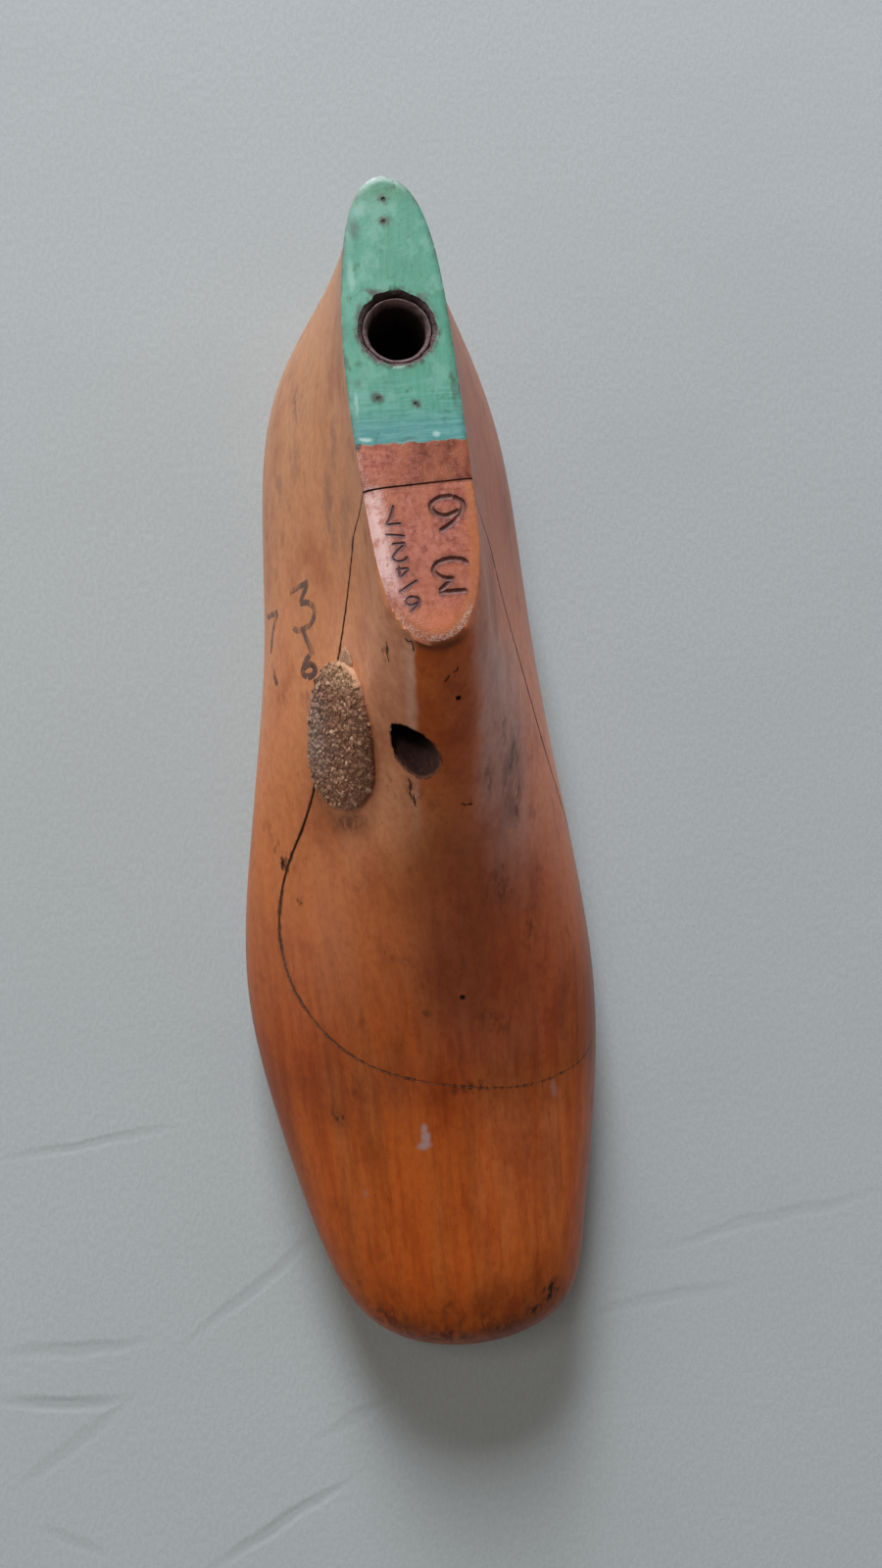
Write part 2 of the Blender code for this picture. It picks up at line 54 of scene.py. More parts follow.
# The loft, at eleven stations from heel to toe, as in the solids
LENGTH = 243.0
FEATHER = {
    "start": 3.0,
    "stop": 3.0,
    "lateral": (0, 8.8, 20.8, 26, 25.5, 32, 39.5, 35.5, 28.5, 18, 0),
    "medial": (0, 8.2, 16.8, 20, 16, 22.5, 31.5, 30.5, 25, 17, 0),
    "tilt": (74, 74, 72, 66, 52, 46, 48, 54, 58, 60, 60),
}
WIDEST = {
    "start": 0.0,
    "stop": 0.0,
    "lateral": (0, 10.7, 24.8, 31, 33.6, 39.8, 44.4, 39.4, 32, 21, 0),
    "medial": (0, 9.9, 19.8, 25.5, 27.3, 31.8, 35.8, 33.3, 28, 20.7, 0),
    "height": (24, 23.5, 22, 22, 22, 19, 15, 15, 17.5, 20.5, 22),
}
SHOULDER = {
    "start": 2.4,
    "stop": 6.5,
    "lateral": (0, 6.3, 9.6, 10.4, 10.7, 19.5, 29, 28.5, 23.5, 14.3, 0),
    "medial": (0, 6.3, 9.6, 10.4, 11.1, 17, 25, 25, 21.5, 14, 0),
    "height": (73, 73.5, 75, 77, 72.5, 46, 34, 30, 29.3, 29.8, 30),
    "lean": (0, 0, 4, 9, 12, 40, 56, 58, 60, 64, 68),
}
RIDGE = {
    "start": 20.0,
    "stop": 25.0,
    "height": (86, 88, 90.5, 90.5, 82.9, 57, 44, 38, 35.2, 34, 33.8),
}
# The ridge below the comb is a flat band between two corners
CREST = {"lateral": 4.3, "medial": 6.8, "drop_lateral": 0.3, "drop_medial": 0.6}
CREST_START = 87.0
CREST_FULL = 97.0
CREST_FADE = 106.0
CREST_END = 134.0
CREST_SHARE = 4 / 7
CREST_ROUND = 0.1
CREST_BLEND_IN = 0.35
CREST_BLEND_OUT = 0.8
SOLE_CENTRE = {"start": 22.0, "stop": 22.0}
UPPER_CENTRE = (-0.9, -0.9, -0.9, -0.5, 0.7, 1.5, 2, 1.5, 0.5, 0, 0)
HEEL_SEAT_END = 53.0
TREAD_START = 160.0
TREAD_END = 168.0
TOE_SPRING = 12.5
TOE_SPRING_POWER = 1.9
WAIST_RISE_LATERAL = 5.0
WAIST_RISE_MEDIAL = 9.0
FEATHER_RISE = 1.6
FLAT_SHARE = 0.5

# Comb, saw cut, holes, pin and brads, as in the solids
COMB_HEIGHT_AT_HEEL = 72.6
COMB_SLOPE = 4.6
WALL_AT_COMB = 62.8
WALL_ANGLE = 60.0
SLOPE_ANGLE = 32.0
RISE_ANGLE = 45.0
KNEE_RADIUS = 8.0
SCOOP_RADIUS = 40.0
SCOOP_LOW_S = 150.7
SCOOP_LOW_Z = 22.3
CUT_SKEW = 0.06
CUT_DIP = -0.18
KERF_FORWARD = 0.2
CUT_MARGIN = 25.0
GAP = 0.3
JACK_S = 32.8
JACK_X = -0.8
THIMBLE_BORE = 10.9
THIMBLE_WALL = 1.05
THIMBLE_LENGTH = 42.0
THIMBLE_SET_DOWN = 0.8
DRILL_POINT = 59.0
LIFT_LEAN = 15.0
PIN_S = 143.0
PIN_X = 1.0
PIN_DIAMETER = 5.0
PIN_IN_BODY = 12.0
PIN_IN_BLOCK = 10.0
PIN_ROUND = 0.8
HOOK_DEPTH = 13.5
BRADS = {"ridge_brad_upper": (102.2, 4.6), "ridge_brad_lower": (162.8, 2.7)}
BRAD_DIAMETER = 1.5
BRAD_LENGTH = 12.0
BRAD_SET_DOWN = 0.15
PATCH_S = 106.0
PATCH_X = -17.6
PATCH_LENGTH = 31.0
PATCH_WIDTH = 18.2
PATCH_THICKNESS = 1.8
PATCH_EDGE = 0.9
PATCH_POWER = 2.4
PATCH_TURN = 23.0

# How finely the wood is lofted and cut here
ALONG = 240
SOLE_ROWS = 10
LOWER_ROWS = 8
FLANK_ROWS = 32
TOP_ROWS = 22
ARC_STEP = 1.5
HOLE_FACETS = 72
SHARP_ANGLE = 33.0


# The loft


def share(u):
    """Position along a row, eased so that the rows close in round ends."""
    return (1 - np.cos(np.pi * u)) / 2


def smooth_through(values, u, level_ends):
    """Cubic through evenly spaced values, with level ends or with ends that run straight out."""
    y = np.asarray(values, float)
    last = len(y) - 1
    rows = np.zeros((last + 1, last + 1))
    right = np.zeros(last + 1)
    for i in range(1, last):
        rows[i, i - 1 : i + 2] = (1, 4, 1)
        right[i] = 3 * (y[i + 1] - y[i - 1])
    if level_ends:
        rows[0, 0] = 1
        rows[last, last] = 1
    else:
        rows[0, :2] = (2, 1)
        rows[last, last - 1 :] = (1, 2)
        right[0] = 3 * (y[1] - y[0])
        right[last] = 3 * (y[last] - y[last - 1])
    slope = np.linalg.solve(rows, right)
    x = np.clip(np.asarray(u, float), 0, 1) * last
    i = np.minimum(x.astype(int), last - 1)
    t = x - i
    start = (1 + 2 * t) * (1 - t) ** 2 * y[i] + t * (1 - t) ** 2 * slope[i]
    return start + t * t * (3 - 2 * t) * y[i + 1] + t * t * (t - 1) * slope[i + 1]


def sole_height(s, across):
    """Height of the sole; across runs from -1 at the lateral feather edge to 1 at the medial."""
    toe = np.clip((s - TREAD_END) / (LENGTH - TREAD_END), 0, 1)
    waist = np.clip((s - HEEL_SEAT_END) / (TREAD_START - HEEL_SEAT_END), 0, 1)
    rise = WAIST_RISE_LATERAL + (WAIST_RISE_MEDIAL - WAIST_RISE_LATERAL) * (across + 1) / 2
    edge = np.clip((np.abs(across) - FLAT_SHARE) / (1 - FLAT_SHARE), 0, 1) ** 2
    hollow = rise * np.sin(np.pi * waist) ** 2
    return TOE_SPRING * toe**TOE_SPRING_POWER + hollow + FEATHER_RISE * edge


def row_places(row, u):
    return row["start"] + (LENGTH - row["start"] - row["stop"]) * share(u)


def unit(vectors):
    size = np.linalg.norm(vectors, axis=-1, keepdims=True)
    return vectors / np.maximum(size, 1e-9)


def level(vectors):
    flat = vectors.copy()
    flat[:, 2] = 0
    return unit(flat)


def curve_between(first, last, leave, arrive, t):
    """Points of the cubic that leaves first along leave and meets last along arrive."""
    t = np.asarray(t)[:, None, None]
    start = (1 + 2 * t) * (1 - t) ** 2 * first + t * (1 - t) ** 2 * leave
    return start + t * t * (3 - 2 * t) * last + t * t * (t - 1) * arrive


def smooth_step(first, last, x):
    t = np.clip((x - first) / (last - first), 0, 1)
    return t * t * (3 - 2 * t)


def crested(rows, sign, shoulder, ridge, steps):
    """Draws the rows between shoulder and ridge out to the corner of the flat band on the ridge."""
    side = "lateral" if sign < 0 else "medial"
    corner = shoulder + (ridge - shoulder) * CREST_SHARE
    come = smooth_step(CREST_START, CREST_FULL, corner[:, 1])
    fade = smooth_step(CREST_END, CREST_FADE, corner[:, 1])
    corner[:, 0] = ridge[:, 0] + sign * CREST[side]
    corner[:, 2] = np.interp(corner[:, 1], ridge[:, 1], ridge[:, 2]) - CREST["drop_" + side]
    bent = []
    for t, row in zip(steps, rows):
        before = (CREST_SHARE - t) / CREST_ROUND
        soft = CREST_ROUND * (math.log1p(math.exp(-abs(before))) + max(before, 0))
        to_corner = 1 - soft / CREST_SHARE
        past = (t - CREST_SHARE + soft) / (1 - CREST_SHARE)
        place = shoulder + (corner - shoulder) * to_corner + (ridge - corner) * past
        blend = smooth_step(0, CREST_BLEND_IN, t) * smooth_step(1, CREST_BLEND_OUT, t)
        bent.append(row + (come * fade * blend)[:, None] * (place - row))
    return bent


def side_grid(sign, along, sole, lower, flank, top):
    """One side of the last as a grid [row, station] of (x, s, z), from the sole to the ridge."""
    side = "lateral" if sign < 0 else "medial"
    u = np.linspace(0, 1, along + 1)
    centre = smooth_through(UPPER_CENTRE, u, True)

    def heights(row):
        return smooth_through(row["height"], u, True)

    def place(row, middle, z):
        return np.stack([middle + sign * smooth_through(row[side], u, False), row_places(row, u), z], 1)

    feather_s = row_places(FEATHER, u)
    feather = place(FEATHER, 0, sole_height(feather_s, sign * np.ones_like(u)))
    widest = place(WIDEST, 0, heights(WIDEST))
    shoulder = place(SHOULDER, centre, heights(SHOULDER))
    ridge = np.stack([centre, row_places(RIDGE, u), heights(RIDGE)], 1)
    middle_s = row_places(SOLE_CENTRE, u)
    middle = np.stack([np.zeros_like(u), middle_s, sole_height(middle_s, np.zeros_like(u))], 1)

    up = np.array([0.0, 0.0, 1.0])
    lean = np.radians(smooth_through(SHOULDER["lean"], u, True))[:, None]
    at_shoulder = np.sin(lean) * level(ridge - widest) + np.cos(lean) * up
    over = level(ridge - shoulder)
    at_ridge = over.copy()
    at_ridge[:, 2] = np.gradient(ridge[:, 2], ridge[:, 1]) * over[:, 1]
    tilt = np.radians(smooth_through(FEATHER["tilt"], u, True))[:, None]
    at_feather = np.cos(tilt) * level(widest - feather) + np.sin(tilt) * up

    def span(a, b):
        return np.linalg.norm(b - a, axis=1, keepdims=True)

    grid = []
    for k in range(sole):
        across = k / sole
        row = middle + (feather - middle) * across
        row[:, 2] = sole_height(row[:, 1], sign * across * np.ones_like(u))
        grid.append(row)
    reach = span(feather, widest)
    steps = np.arange(lower) / lower
    grid += list(curve_between(feather, widest, at_feather * reach, up * reach, steps))
    reach = span(widest, shoulder)
    steps = np.arange(flank) / flank
    grid += list(curve_between(widest, shoulder, up * reach, at_shoulder * reach, steps))
    reach = span(shoulder, ridge)
    steps = np.arange(top + 1) / top
    rows = curve_between(shoulder, ridge, at_shoulder * reach, at_ridge * reach * 1.2, steps)
    grid += crested(rows, sign, shoulder, ridge, steps)
    return np.array(grid)


def middle_of_solids():
    """The place that the solids' origin has on the last, from the facets that they are made with."""
    facets = (64, 4, 3, 10, 7)
    points = np.concatenate([side_grid(sign, *facets).reshape(-1, 3) for sign in (-1, 1)])
    return [(points[:, axis].min() + points[:, axis].max()) / 2 for axis in (0, 1)]


MIDDLE_X, MIDDLE_S = middle_of_solids()


def at(s, x, z):
    """The world place of (s, x, z) on the last."""
    return Vector((x - MIDDLE_X, MIDDLE_S - s, z)) * MM


def toward(to_toe, to_medial, up):
    return Vector((to_medial, -to_toe, up)).normalized()


COMB_NORMAL = toward(-math.sin(math.radians(COMB_SLOPE)), 0, math.cos(math.radians(COMB_SLOPE)))
LIFT = toward(math.sin(math.radians(LIFT_LEAN)), 0, math.cos(math.radians(LIFT_LEAN)))


def comb_height(s):
    return COMB_HEIGHT_AT_HEEL + s * math.tan(math.radians(COMB_SLOPE))


# Meshes


def shade(bm, angle=SHARP_ANGLE):
    limit = math.radians(angle)
    for face in bm.faces:
        face.smooth = True
    for edge in bm.edges:
        edge.smooth = len(edge.link_faces) == 2 and edge.calc_face_angle(0) < limit


def shade_again(item):
    bm = bmesh.new()
    bm.from_mesh(item.data)
    shade(bm)
    bm.to_mesh(item.data)
    bm.free()


def piece(name, bm, *looks):
    mesh = bpy.data.meshes.new(name)
    bm.to_mesh(mesh)
    bm.free()
    for look in looks:
        mesh.materials.append(look)
    item = bpy.data.objects.new(name, mesh)
    bpy.context.scene.collection.objects.link(item)
    return item


def settle(item):
    """Turns what the modifiers make of a piece into its plain mesh."""
    bpy.context.view_layer.update()
    graph = bpy.context.evaluated_depsgraph_get()
    mesh = bpy.data.meshes.new_from_object(item.evaluated_get(graph), depsgraph=graph)
    item.modifiers.clear()
    old = item.data
    item.data = mesh
    bpy.data.meshes.remove(old)


def cut(item, *cutters, keep="outside"):
    """Cuts a piece with one cutter after another; each hands its material to the cut faces."""
    for cutter in cutters:
        step = item.modifiers.new(cutter.name, "BOOLEAN")
        step.operation = "DIFFERENCE" if keep == "outside" else "INTERSECT"
        step.solver = "EXACT"
        step.material_mode = "TRANSFER"
        step.object = cutter
        settle(item)
        bpy.data.objects.remove(cutter, do_unlink=True)


WOBBLE_SIZE = 26.0
WOBBLE_DEPTH = 0.16
WOBBLE_FROM = 4.0


def worn(place, z):
    """A hand-finished surface is never quite true: long, shallow swells. The sole stays flat."""
    if z < WOBBLE_FROM:
        return place
    swell = noise.noise(Vector((place.x, place.y, place.z)) / (WOBBLE_SIZE * MM))
    return place + Vector((swell * WOBBLE_DEPTH * MM, 0, -abs(swell) * WOBBLE_DEPTH * 0.5 * MM))


def turned_last():
    """The whole last before sawing."""
    facets = (ALONG, SOLE_ROWS, LOWER_ROWS, FLANK_ROWS, TOP_ROWS)
    grids = {sign: side_grid(sign, *facets) for sign in (-1, 1)}
    bm = bmesh.new()
    corners = {}
    rows = grids[1].shape[0]

    def corner(sign, row, station):
        shared = station in (0, ALONG) or row in (0, rows - 1)
        key = (0 if shared else sign, row, station)
        if key not in corners:
            x, s, z = grids[sign][row, station]
            corners[key] = bm.verts.new(worn(at(s, x, z), z))
        return corners[key]

    for sign in (-1, 1):
        for row in range(rows - 1):
            for station in range(ALONG):
                around = ((row, station), (row, station + 1), (row + 1, station + 1), (row + 1, station))
                bm.faces.new([corner(sign, *place) for place in around])
    bmesh.ops.recalc_face_normals(bm, faces=bm.faces)
    return bm


# The comb's rim: how far it is rounded, and below which lengths its edges are joined
RIM_WEAR = 0.5
RIM_STEP = 0.7
RIM_MIN_EDGE = 0.25
# The planed face: the widths of the rings inside its rim, and the size of the cells within them
CAP_RINGS = (0.45, 0.55, 0.65, 0.7)
CAP_CELL = 1.2
# From where on the rim is evened out, in rounds of pulling in and pushing out again
FAIR_FROM = 80.0
FAIR_ROUNDS = 40
PULL_IN = 0.5
PUSH_OUT = -0.52
SMOOTH_RINGS = 3
SMOOTH_ROUNDS = 6


def fair_rim(bm, rim):
    """Evens out the comb's outline round its tip, where the loft leaves corners, and the wood below."""
    beside = {}
    for edge in rim:
        for vert in edge.verts:
            beside.setdefault(vert, []).append(edge.other_vert(vert))
    near_tip = {vert: pair for vert, pair in beside.items() if MIDDLE_S - vert.co.y / MM > FAIR_FROM}
    for pull in (PULL_IN, PUSH_OUT) * FAIR_ROUNDS:
        moved = {vert: vert.co.lerp((a.co + b.co) / 2, pull) for vert, (a, b) in near_tip.items()}
        for vert, place in moved.items():
            vert.co = place
    grown = set(near_tip)
    below = set()
    for _ in range(SMOOTH_RINGS):
        grown = {edge.other_vert(vert) for vert in grown for edge in vert.link_edges} - set(beside) - below
        below |= grown
    for _ in range(SMOOTH_ROUNDS):
        bmesh.ops.smooth_vert(
            bm, verts=list(below), factor=0.5, use_axis_x=True, use_axis_y=True, use_axis_z=True
        )


def planed_comb(bm):
    """Planes the comb flat, rounds its rim, and gives the rim's points."""
    made = bmesh.ops.bisect_plane(
        bm,
        geom=list(bm.verts) + list(bm.edges) + list(bm.faces),
        dist=1e-7,
        plane_co=at(0, 0, comb_height(0)),
        plane_no=COMB_NORMAL,
        clear_outer=True,
    )
    rim = {edge for edge in made["geom_cut"] if isinstance(edge, bmesh.types.BMEdge)}
    around = {vert for edge in rim for vert in edge.verts}
    merge = {}
    # In the mesh's own order, so that every run joins the same points
    for vert in [vert for vert in bm.verts if vert in around]:
        for edge in vert.link_edges:
            other = edge.other_vert(vert)
            if other not in around and edge.calc_length() < RIM_STEP * MM:
                merge.setdefault(other, vert)
    bmesh.ops.weld_verts(bm, targetmap=merge)
    merge = {}
    for edge in [e for e in bm.edges if e.is_boundary]:
        first, second = edge.verts
        if edge.calc_length() < RIM_MIN_EDGE * MM and first not in merge and second not in merge:
            if first not in merge.values() and second not in merge.values():
                merge[first] = second
    bmesh.ops.weld_verts(bm, targetmap=merge)
    rim = [edge for edge in bm.edges if edge.is_boundary]
    fair_rim(bm, rim)
    cap = bmesh.ops.contextual_create(bm, geom=rim)["faces"][0]
    bmesh.ops.recalc_face_normals(bm, faces=bm.faces)
    cap.material_index = 1
    outline = [(e.verts[0].co * (1 - t) + e.verts[1].co * t) for e in rim for t in (0, 0.25, 0.5, 0.75)]
    rounded = bmesh.ops.bevel(
        bm,
        geom=rim,
        offset=RIM_WEAR * MM,
        offset_type="OFFSET",
        segments=3,
        profile=0.5,
        affect="EDGES",
        clamp_overlap=True,
    )
    for face in rounded["faces"]:
        face.material_index = 1
    cap = max((face for face in bm.faces if face.material_index == 1), key=lambda face: face.calc_area())
    for width in CAP_RINGS:
        bmesh.ops.inset_region(bm, faces=[cap], thickness=width * MM, use_even_offset=True)
    reach = [vert.co.copy() for vert in cap.verts]
    geom = [cap] + list(cap.edges) + list(cap.verts)
    for axis in (0, 1):
        low = min(place[axis] for place in reach)
        high = max(place[axis] for place in reach)
        across = Vector((1 - axis, axis, 0))
        for k in range(1, int((high - low) / (CAP_CELL * MM)) + 1):
            step = across * (low + k * CAP_CELL * MM)
            geom = bmesh.ops.bisect_plane(bm, geom=geom, dist=1e-7, plane_co=step, plane_no=across)["geom"]
    return outline


# Handling rubs the comb's edges down: depth and width in millimetres, and where along the comb
RUBBED = (
    {"side": 0, "from": -9.0, "to": -2.0, "depth": 0.1, "width": 1.5},
    {"side": -1, "from": 60.0, "to": 65.0, "depth": 0.55, "width": 5.0},
    {"side": 1, "from": 66.0, "to": 76.0, "depth": 0.22, "width": 2.2},
    {"side": 0, "from": 84.0, "to": 91.0, "depth": 0.3, "width": 2.4},
)
COMB_SPINE = -0.4
RUB_BLEND = 1.5


def rub_comb(bm, outline):
    """Lowers the comb's edges where hands and straps have rounded them."""
    tree = KDTree(len(outline))
    for k, place in enumerate(outline):
        tree.insert(place, k)
    tree.balance()
    foot = at(0, 0, comb_height(0))
    for vert in bm.verts:
        above = (vert.co - foot).dot(COMB_NORMAL) / MM
        if above < -RIM_WEAR - 0.05:
            continue
        s = MIDDLE_S - vert.co.y / MM
        x = vert.co.x / MM + MIDDLE_X
        away = tree.find(vert.co)[2] / MM
        drop = 0
        for place in RUBBED:
            share_along = float(smooth_step(place["from"], place["to"], s))
            if place["side"]:
                share_along *= float(smooth_step(-RUB_BLEND, RUB_BLEND, place["side"] * (x - COMB_SPINE)))
            drop += share_along * place["depth"] * max(0, 1 - away / place["width"]) ** 2
        vert.co -= COMB_NORMAL * drop * max(0, min(1, 1 + above / RIM_WEAR)) * MM


def arc(centre, radius, first, last):
    """Points of an arc in the side view; angles in degrees from straight down, towards the toe."""
    steps = max(2, round(abs(last - first) / ARC_STEP))
    angles = np.radians(np.linspace(first, last, steps + 1))
    return [(centre[0] + radius * math.sin(a), centre[1] - radius * math.cos(a)) for a in angles]


def saw_profile():
    """The saw cut in the side view, from above the comb down, along the scoop and out of the vamp."""
    wall = math.radians(WALL_ANGLE)
    slope = math.radians(SLOPE_ANGLE)
    rise = math.radians(RISE_ANGLE)
    scoop = arc((SCOOP_LOW_S, SCOOP_LOW_Z + SCOOP_RADIUS), SCOOP_RADIUS, -SLOPE_ANGLE, RISE_ANGLE)
    wall_top = (WALL_AT_COMB, comb_height(WALL_AT_COMB))
    wall_side = (wall_top[0] + KNEE_RADIUS * math.sin(wall), wall_top[1] + KNEE_RADIUS * math.cos(wall))
    slope_side = (
        scoop[0][0] + KNEE_RADIUS * math.sin(slope),
        scoop[0][1] + KNEE_RADIUS * math.cos(slope),
    )
    run = slope_side[0] - wall_side[0]
    fall = wall_side[1] - slope_side[1]
    down_wall = (fall - run * math.tan(slope)) / (math.sin(wall) - math.cos(wall) * math.tan(slope))
    knee_centre = (
        wall_side[0] + down_wall * math.cos(wall),
        wall_side[1] - down_wall * math.sin(wall),
    )
    knee = arc(knee_centre, KNEE_RADIUS, -WALL_ANGLE, -SLOPE_ANGLE)
    above = (wall_top[0] - CUT_MARGIN * math.cos(wall), wall_top[1] + CUT_MARGIN * math.sin(wall))
    beyond = (scoop[-1][0] + CUT_MARGIN * math.cos(rise), scoop[-1][1] + CUT_MARGIN * math.sin(rise))
    return [above] + knee + scoop + [beyond]


def above_saw_cut(name, forward, up, look, dip=CUT_DIP):
    """A solid that fills everything above the saw cut, moved off the cut by (forward, up)."""
    bm = bmesh.new()
    profile = saw_profile()
    ceiling = profile[0][1] + CUT_MARGIN
    profile = profile + [(profile[-1][0], ceiling), (profile[0][0], ceiling)]
    half = max(WIDEST["lateral"]) + CUT_MARGIN
    ends = []
    for x in (-half, half):
        outline = []
        for s, z in profile:
            place = at(s + forward + CUT_SKEW * x, x, z + up + dip * x)
            outline.append(bm.verts.new(place))
        ends.append(bm.faces.new(outline))
    bmesh.ops.bridge_loops(bm, edges=list(ends[0].edges) + list(ends[1].edges))
    bmesh.ops.recalc_face_normals(bm, faces=bm.faces)
    return piece(name, bm, look)


def crumbled(place, roughness=0.8):
    """Rough noise between about -1 and 1, for torn and worn outlines."""
    return noise.fractal(place, roughness, 2.0, 3)


def turned(name, profile, facets, place, direction, *looks, rough=0.0, rough_size=1.0):
    """A turned piece about a direction, from (radius, height) points; rough shakes its radius."""
    bm = bmesh.new()
    points = [bm.verts.new((radius * MM, 0, height * MM)) for radius, height in profile]
    ring = [bm.edges.new(pair) for pair in zip(points, points[1:])]
    if profile[0][0] > 0:
        ring.append(bm.edges.new((points[-1], points[0])))
    spin = {"axis": (0, 0, 1), "cent": (0, 0, 0), "angle": 2 * math.pi, "steps": facets}
    bmesh.ops.spin(bm, geom=points + ring, **spin)
    bmesh.ops.remove_doubles(bm, verts=bm.verts, dist=1e-7)
    bmesh.ops.recalc_face_normals(bm, faces=bm.faces)
    if rough:
        for vert in bm.verts:
            radius = math.hypot(vert.co.x, vert.co.y)
            if radius > 1e-6:
                shake = crumbled(vert.co / (rough_size * MM)) * rough * MM
                vert.co.x *= 1 + shake / radius
                vert.co.y *= 1 + shake / radius
    lean = Vector((0, 0, 1)).rotation_difference(direction).to_matrix().to_4x4()
    bmesh.ops.transform(bm, matrix=Matrix.Translation(place) @ lean, verts=bm.verts)
    return piece(name, bm, *looks)


def drill(name, diameter, depth, over, place, direction, look, lip=0.0, rough=0.0, rough_size=1.0):
    """A drilled hole with a cone at its bottom; lip flares its mouth by that much."""
    radius = diameter / 2
    point = radius / math.tan(math.radians(DRILL_POINT))
    wall = [(radius, -depth * k / 12) for k in range(12, 0, -1)]
    mouth = [(radius, -1.1 * lip), (radius + lip * 0.4, -0.45 * lip), (radius + lip, 0)] if lip else []
    profile = [(0, -depth - point)] + wall + mouth + [(radius + lip * 1.4, over), (0, over)]
    return turned(name, profile, HOLE_FACETS, place, direction, look, rough=rough, rough_size=rough_size)


def even_path(points, gap, finer=8):
    """Places at even gaps along a smooth curve through some points."""
    places = [Vector(p) for p in points]
    if len(places) > 2:
        ends = [2 * places[0] - places[1]] + places + [2 * places[-1] - places[-2]]
        drawn = []
        for a, b, c, d in zip(ends, ends[1:], ends[2:], ends[3:]):
            square = 2 * a - 5 * b + 4 * c - d
            cube = 3 * b - a - 3 * c + d
            for k in range(finer):
                t = k / finer
                drawn.append(0.5 * (2 * b + (c - a) * t + square * t**2 + cube * t**3))
        places = drawn + [places[-1]]
    path = [places[0]]
    for start, stop in zip(places, places[1:]):
        steps = max(1, round((stop - start).length / gap))
        path += [start.lerp(stop, k / steps) for k in range(1, steps + 1)]
    return path


def rod(bm, spine, outward, radii, facets=8):
    """A closed rod with pointed ends along spine; outward gives the side that stays upright."""
    rings = []
    last = len(spine) - 1
    for k, (place, up, radius) in enumerate(zip(spine, outward, radii)):
        ahead = (spine[min(k + 1, last)] - spine[max(k - 1, 0)]).normalized()
        side = ahead.cross(up).normalized()
        top = side.cross(ahead)
        if k in (0, last):
            rings.append([bm.verts.new(place)])
            continue
        ring = []
        for j in range(facets):
            angle = 2 * math.pi * j / facets
            ring.append(bm.verts.new(place + (side * math.cos(angle) + top * math.sin(angle)) * radius))
        rings.append(ring)
    for first, second in zip(rings, rings[1:]):
        for j in range(facets):
            after = (j + 1) % facets
            if len(first) == 1:
                bm.faces.new((first[0], second[after], second[j]))
            elif len(second) == 1:
                bm.faces.new((first[j], first[after], second[0]))
            else:
                bm.faces.new((first[j], first[after], second[after], second[j]))


def groove(name, stroke, width, depth, onto, look):
    """A cutter for a groove of a round section, with tapered ends, along a stroke on a surface."""
    bm = bmesh.new()
    radius = (width**2 / 4 + depth**2) / (2 * depth)
    path = even_path(stroke, width * 0.5)
    laid = [onto(*point) for point in path]
    last = len(path) - 1
    spine = []
    for k, (place, normal) in enumerate(laid):
        taper = min(1, min(k, last - k) / 2) ** 0.5
        spine.append(place + normal * (radius - depth * taper) * MM)
    rod(bm, spine, [normal for _, normal in laid], [radius * MM] * len(path), 12)
    bmesh.ops.recalc_face_normals(bm, faces=bm.faces)
    return piece(name, bm, look)


# Materials


def linear(text):
    """An sRGB hex colour as linear red, green, blue and alpha."""
    parts = [int(text[i : i + 2], 16) / 255 for i in (1, 3, 5)]
    return tuple(c / 12.92 if c <= 0.04045 else ((c + 0.055) / 1.055) ** 2.4 for c in parts) + (1.0,)


def add(tree, kind, links=None, out=0, stops=None, **settings):
    """Adds a node with its settings, sets or links its inputs and gives back one of its outputs."""
    made = tree.nodes.new(kind)
    for name, value in settings.items():
        setattr(made, name, value)
    if stops:
        ramp = made.color_ramp.elements
        for k, (where, colour) in enumerate(stops):
            element = ramp[k] if k < 2 else ramp.new(where)
            element.position = where
            element.color = colour
    for key, value in (links or {}).items():
        if isinstance(value, bpy.types.NodeSocket):
            tree.links.new(value, made.inputs[key])
        else:
            made.inputs[key].default_value = value
    return made.outputs[out]


def new_material(name, **constants):
    """A material with one Principled surface, its constants on its own sockets."""
    made = bpy.data.materials.new(name)
    made.use_nodes = True
    surface = made.node_tree.nodes["Principled BSDF"]
    for socket, value in constants.items():
        surface.inputs[socket.replace("_", " ")].default_value = value
    return made, made.node_tree, surface


# A Mix node's sockets for colours
MIX_SHARE = 0
MIX_FIRST = 6
MIX_SECOND = 7
MIX_COLOUR = 2


def on_last(tree):
    """The place in the last's own millimetres: across, along from the heel, and up."""
    spot = add(tree, "ShaderNodeTexCoord", out="Object")
    settings = {"Vector": spot, "Location": (MIDDLE_X, MIDDLE_S, 0), "Scale": (1 / MM, -1 / MM, 1 / MM)}
    return add(tree, "ShaderNodeMapping", settings)


def patterns(tree, place, table):
    """Noise from a table: size across, along and up in mm, detail, the values that read 0 and 1, most."""
    made = {}
    for name, (size, detail, low, high, most) in table.items():
        drawn = add(tree, "ShaderNodeMapping", {"Vector": place, "Scale": tuple(1 / v for v in size)})
        value = add(
            tree, "ShaderNodeTexNoise", {"Vector": drawn, "Scale": 1.0, "Detail": detail, "Roughness": 0.6}
        )
        made[name] = add(
            tree,
            "ShaderNodeMapRange",
            {"Value": value, "From Min": low, "From Max": high, "To Max": most},
            interpolation_type="SMOOTHSTEP",
        )
    return made


def ramps(tree, values, table):
    """Smooth shares from a table: which value, where it starts, where it is full, and its most."""
    made = {}
    for name, (which, start, full, most) in table.items():
        made[name] = add(
            tree,
            "ShaderNodeMapRange",
            {"Value": values[which], "From Min": start, "From Max": full, "To Max": most},
            interpolation_type="SMOOTHSTEP",
        )
    return made


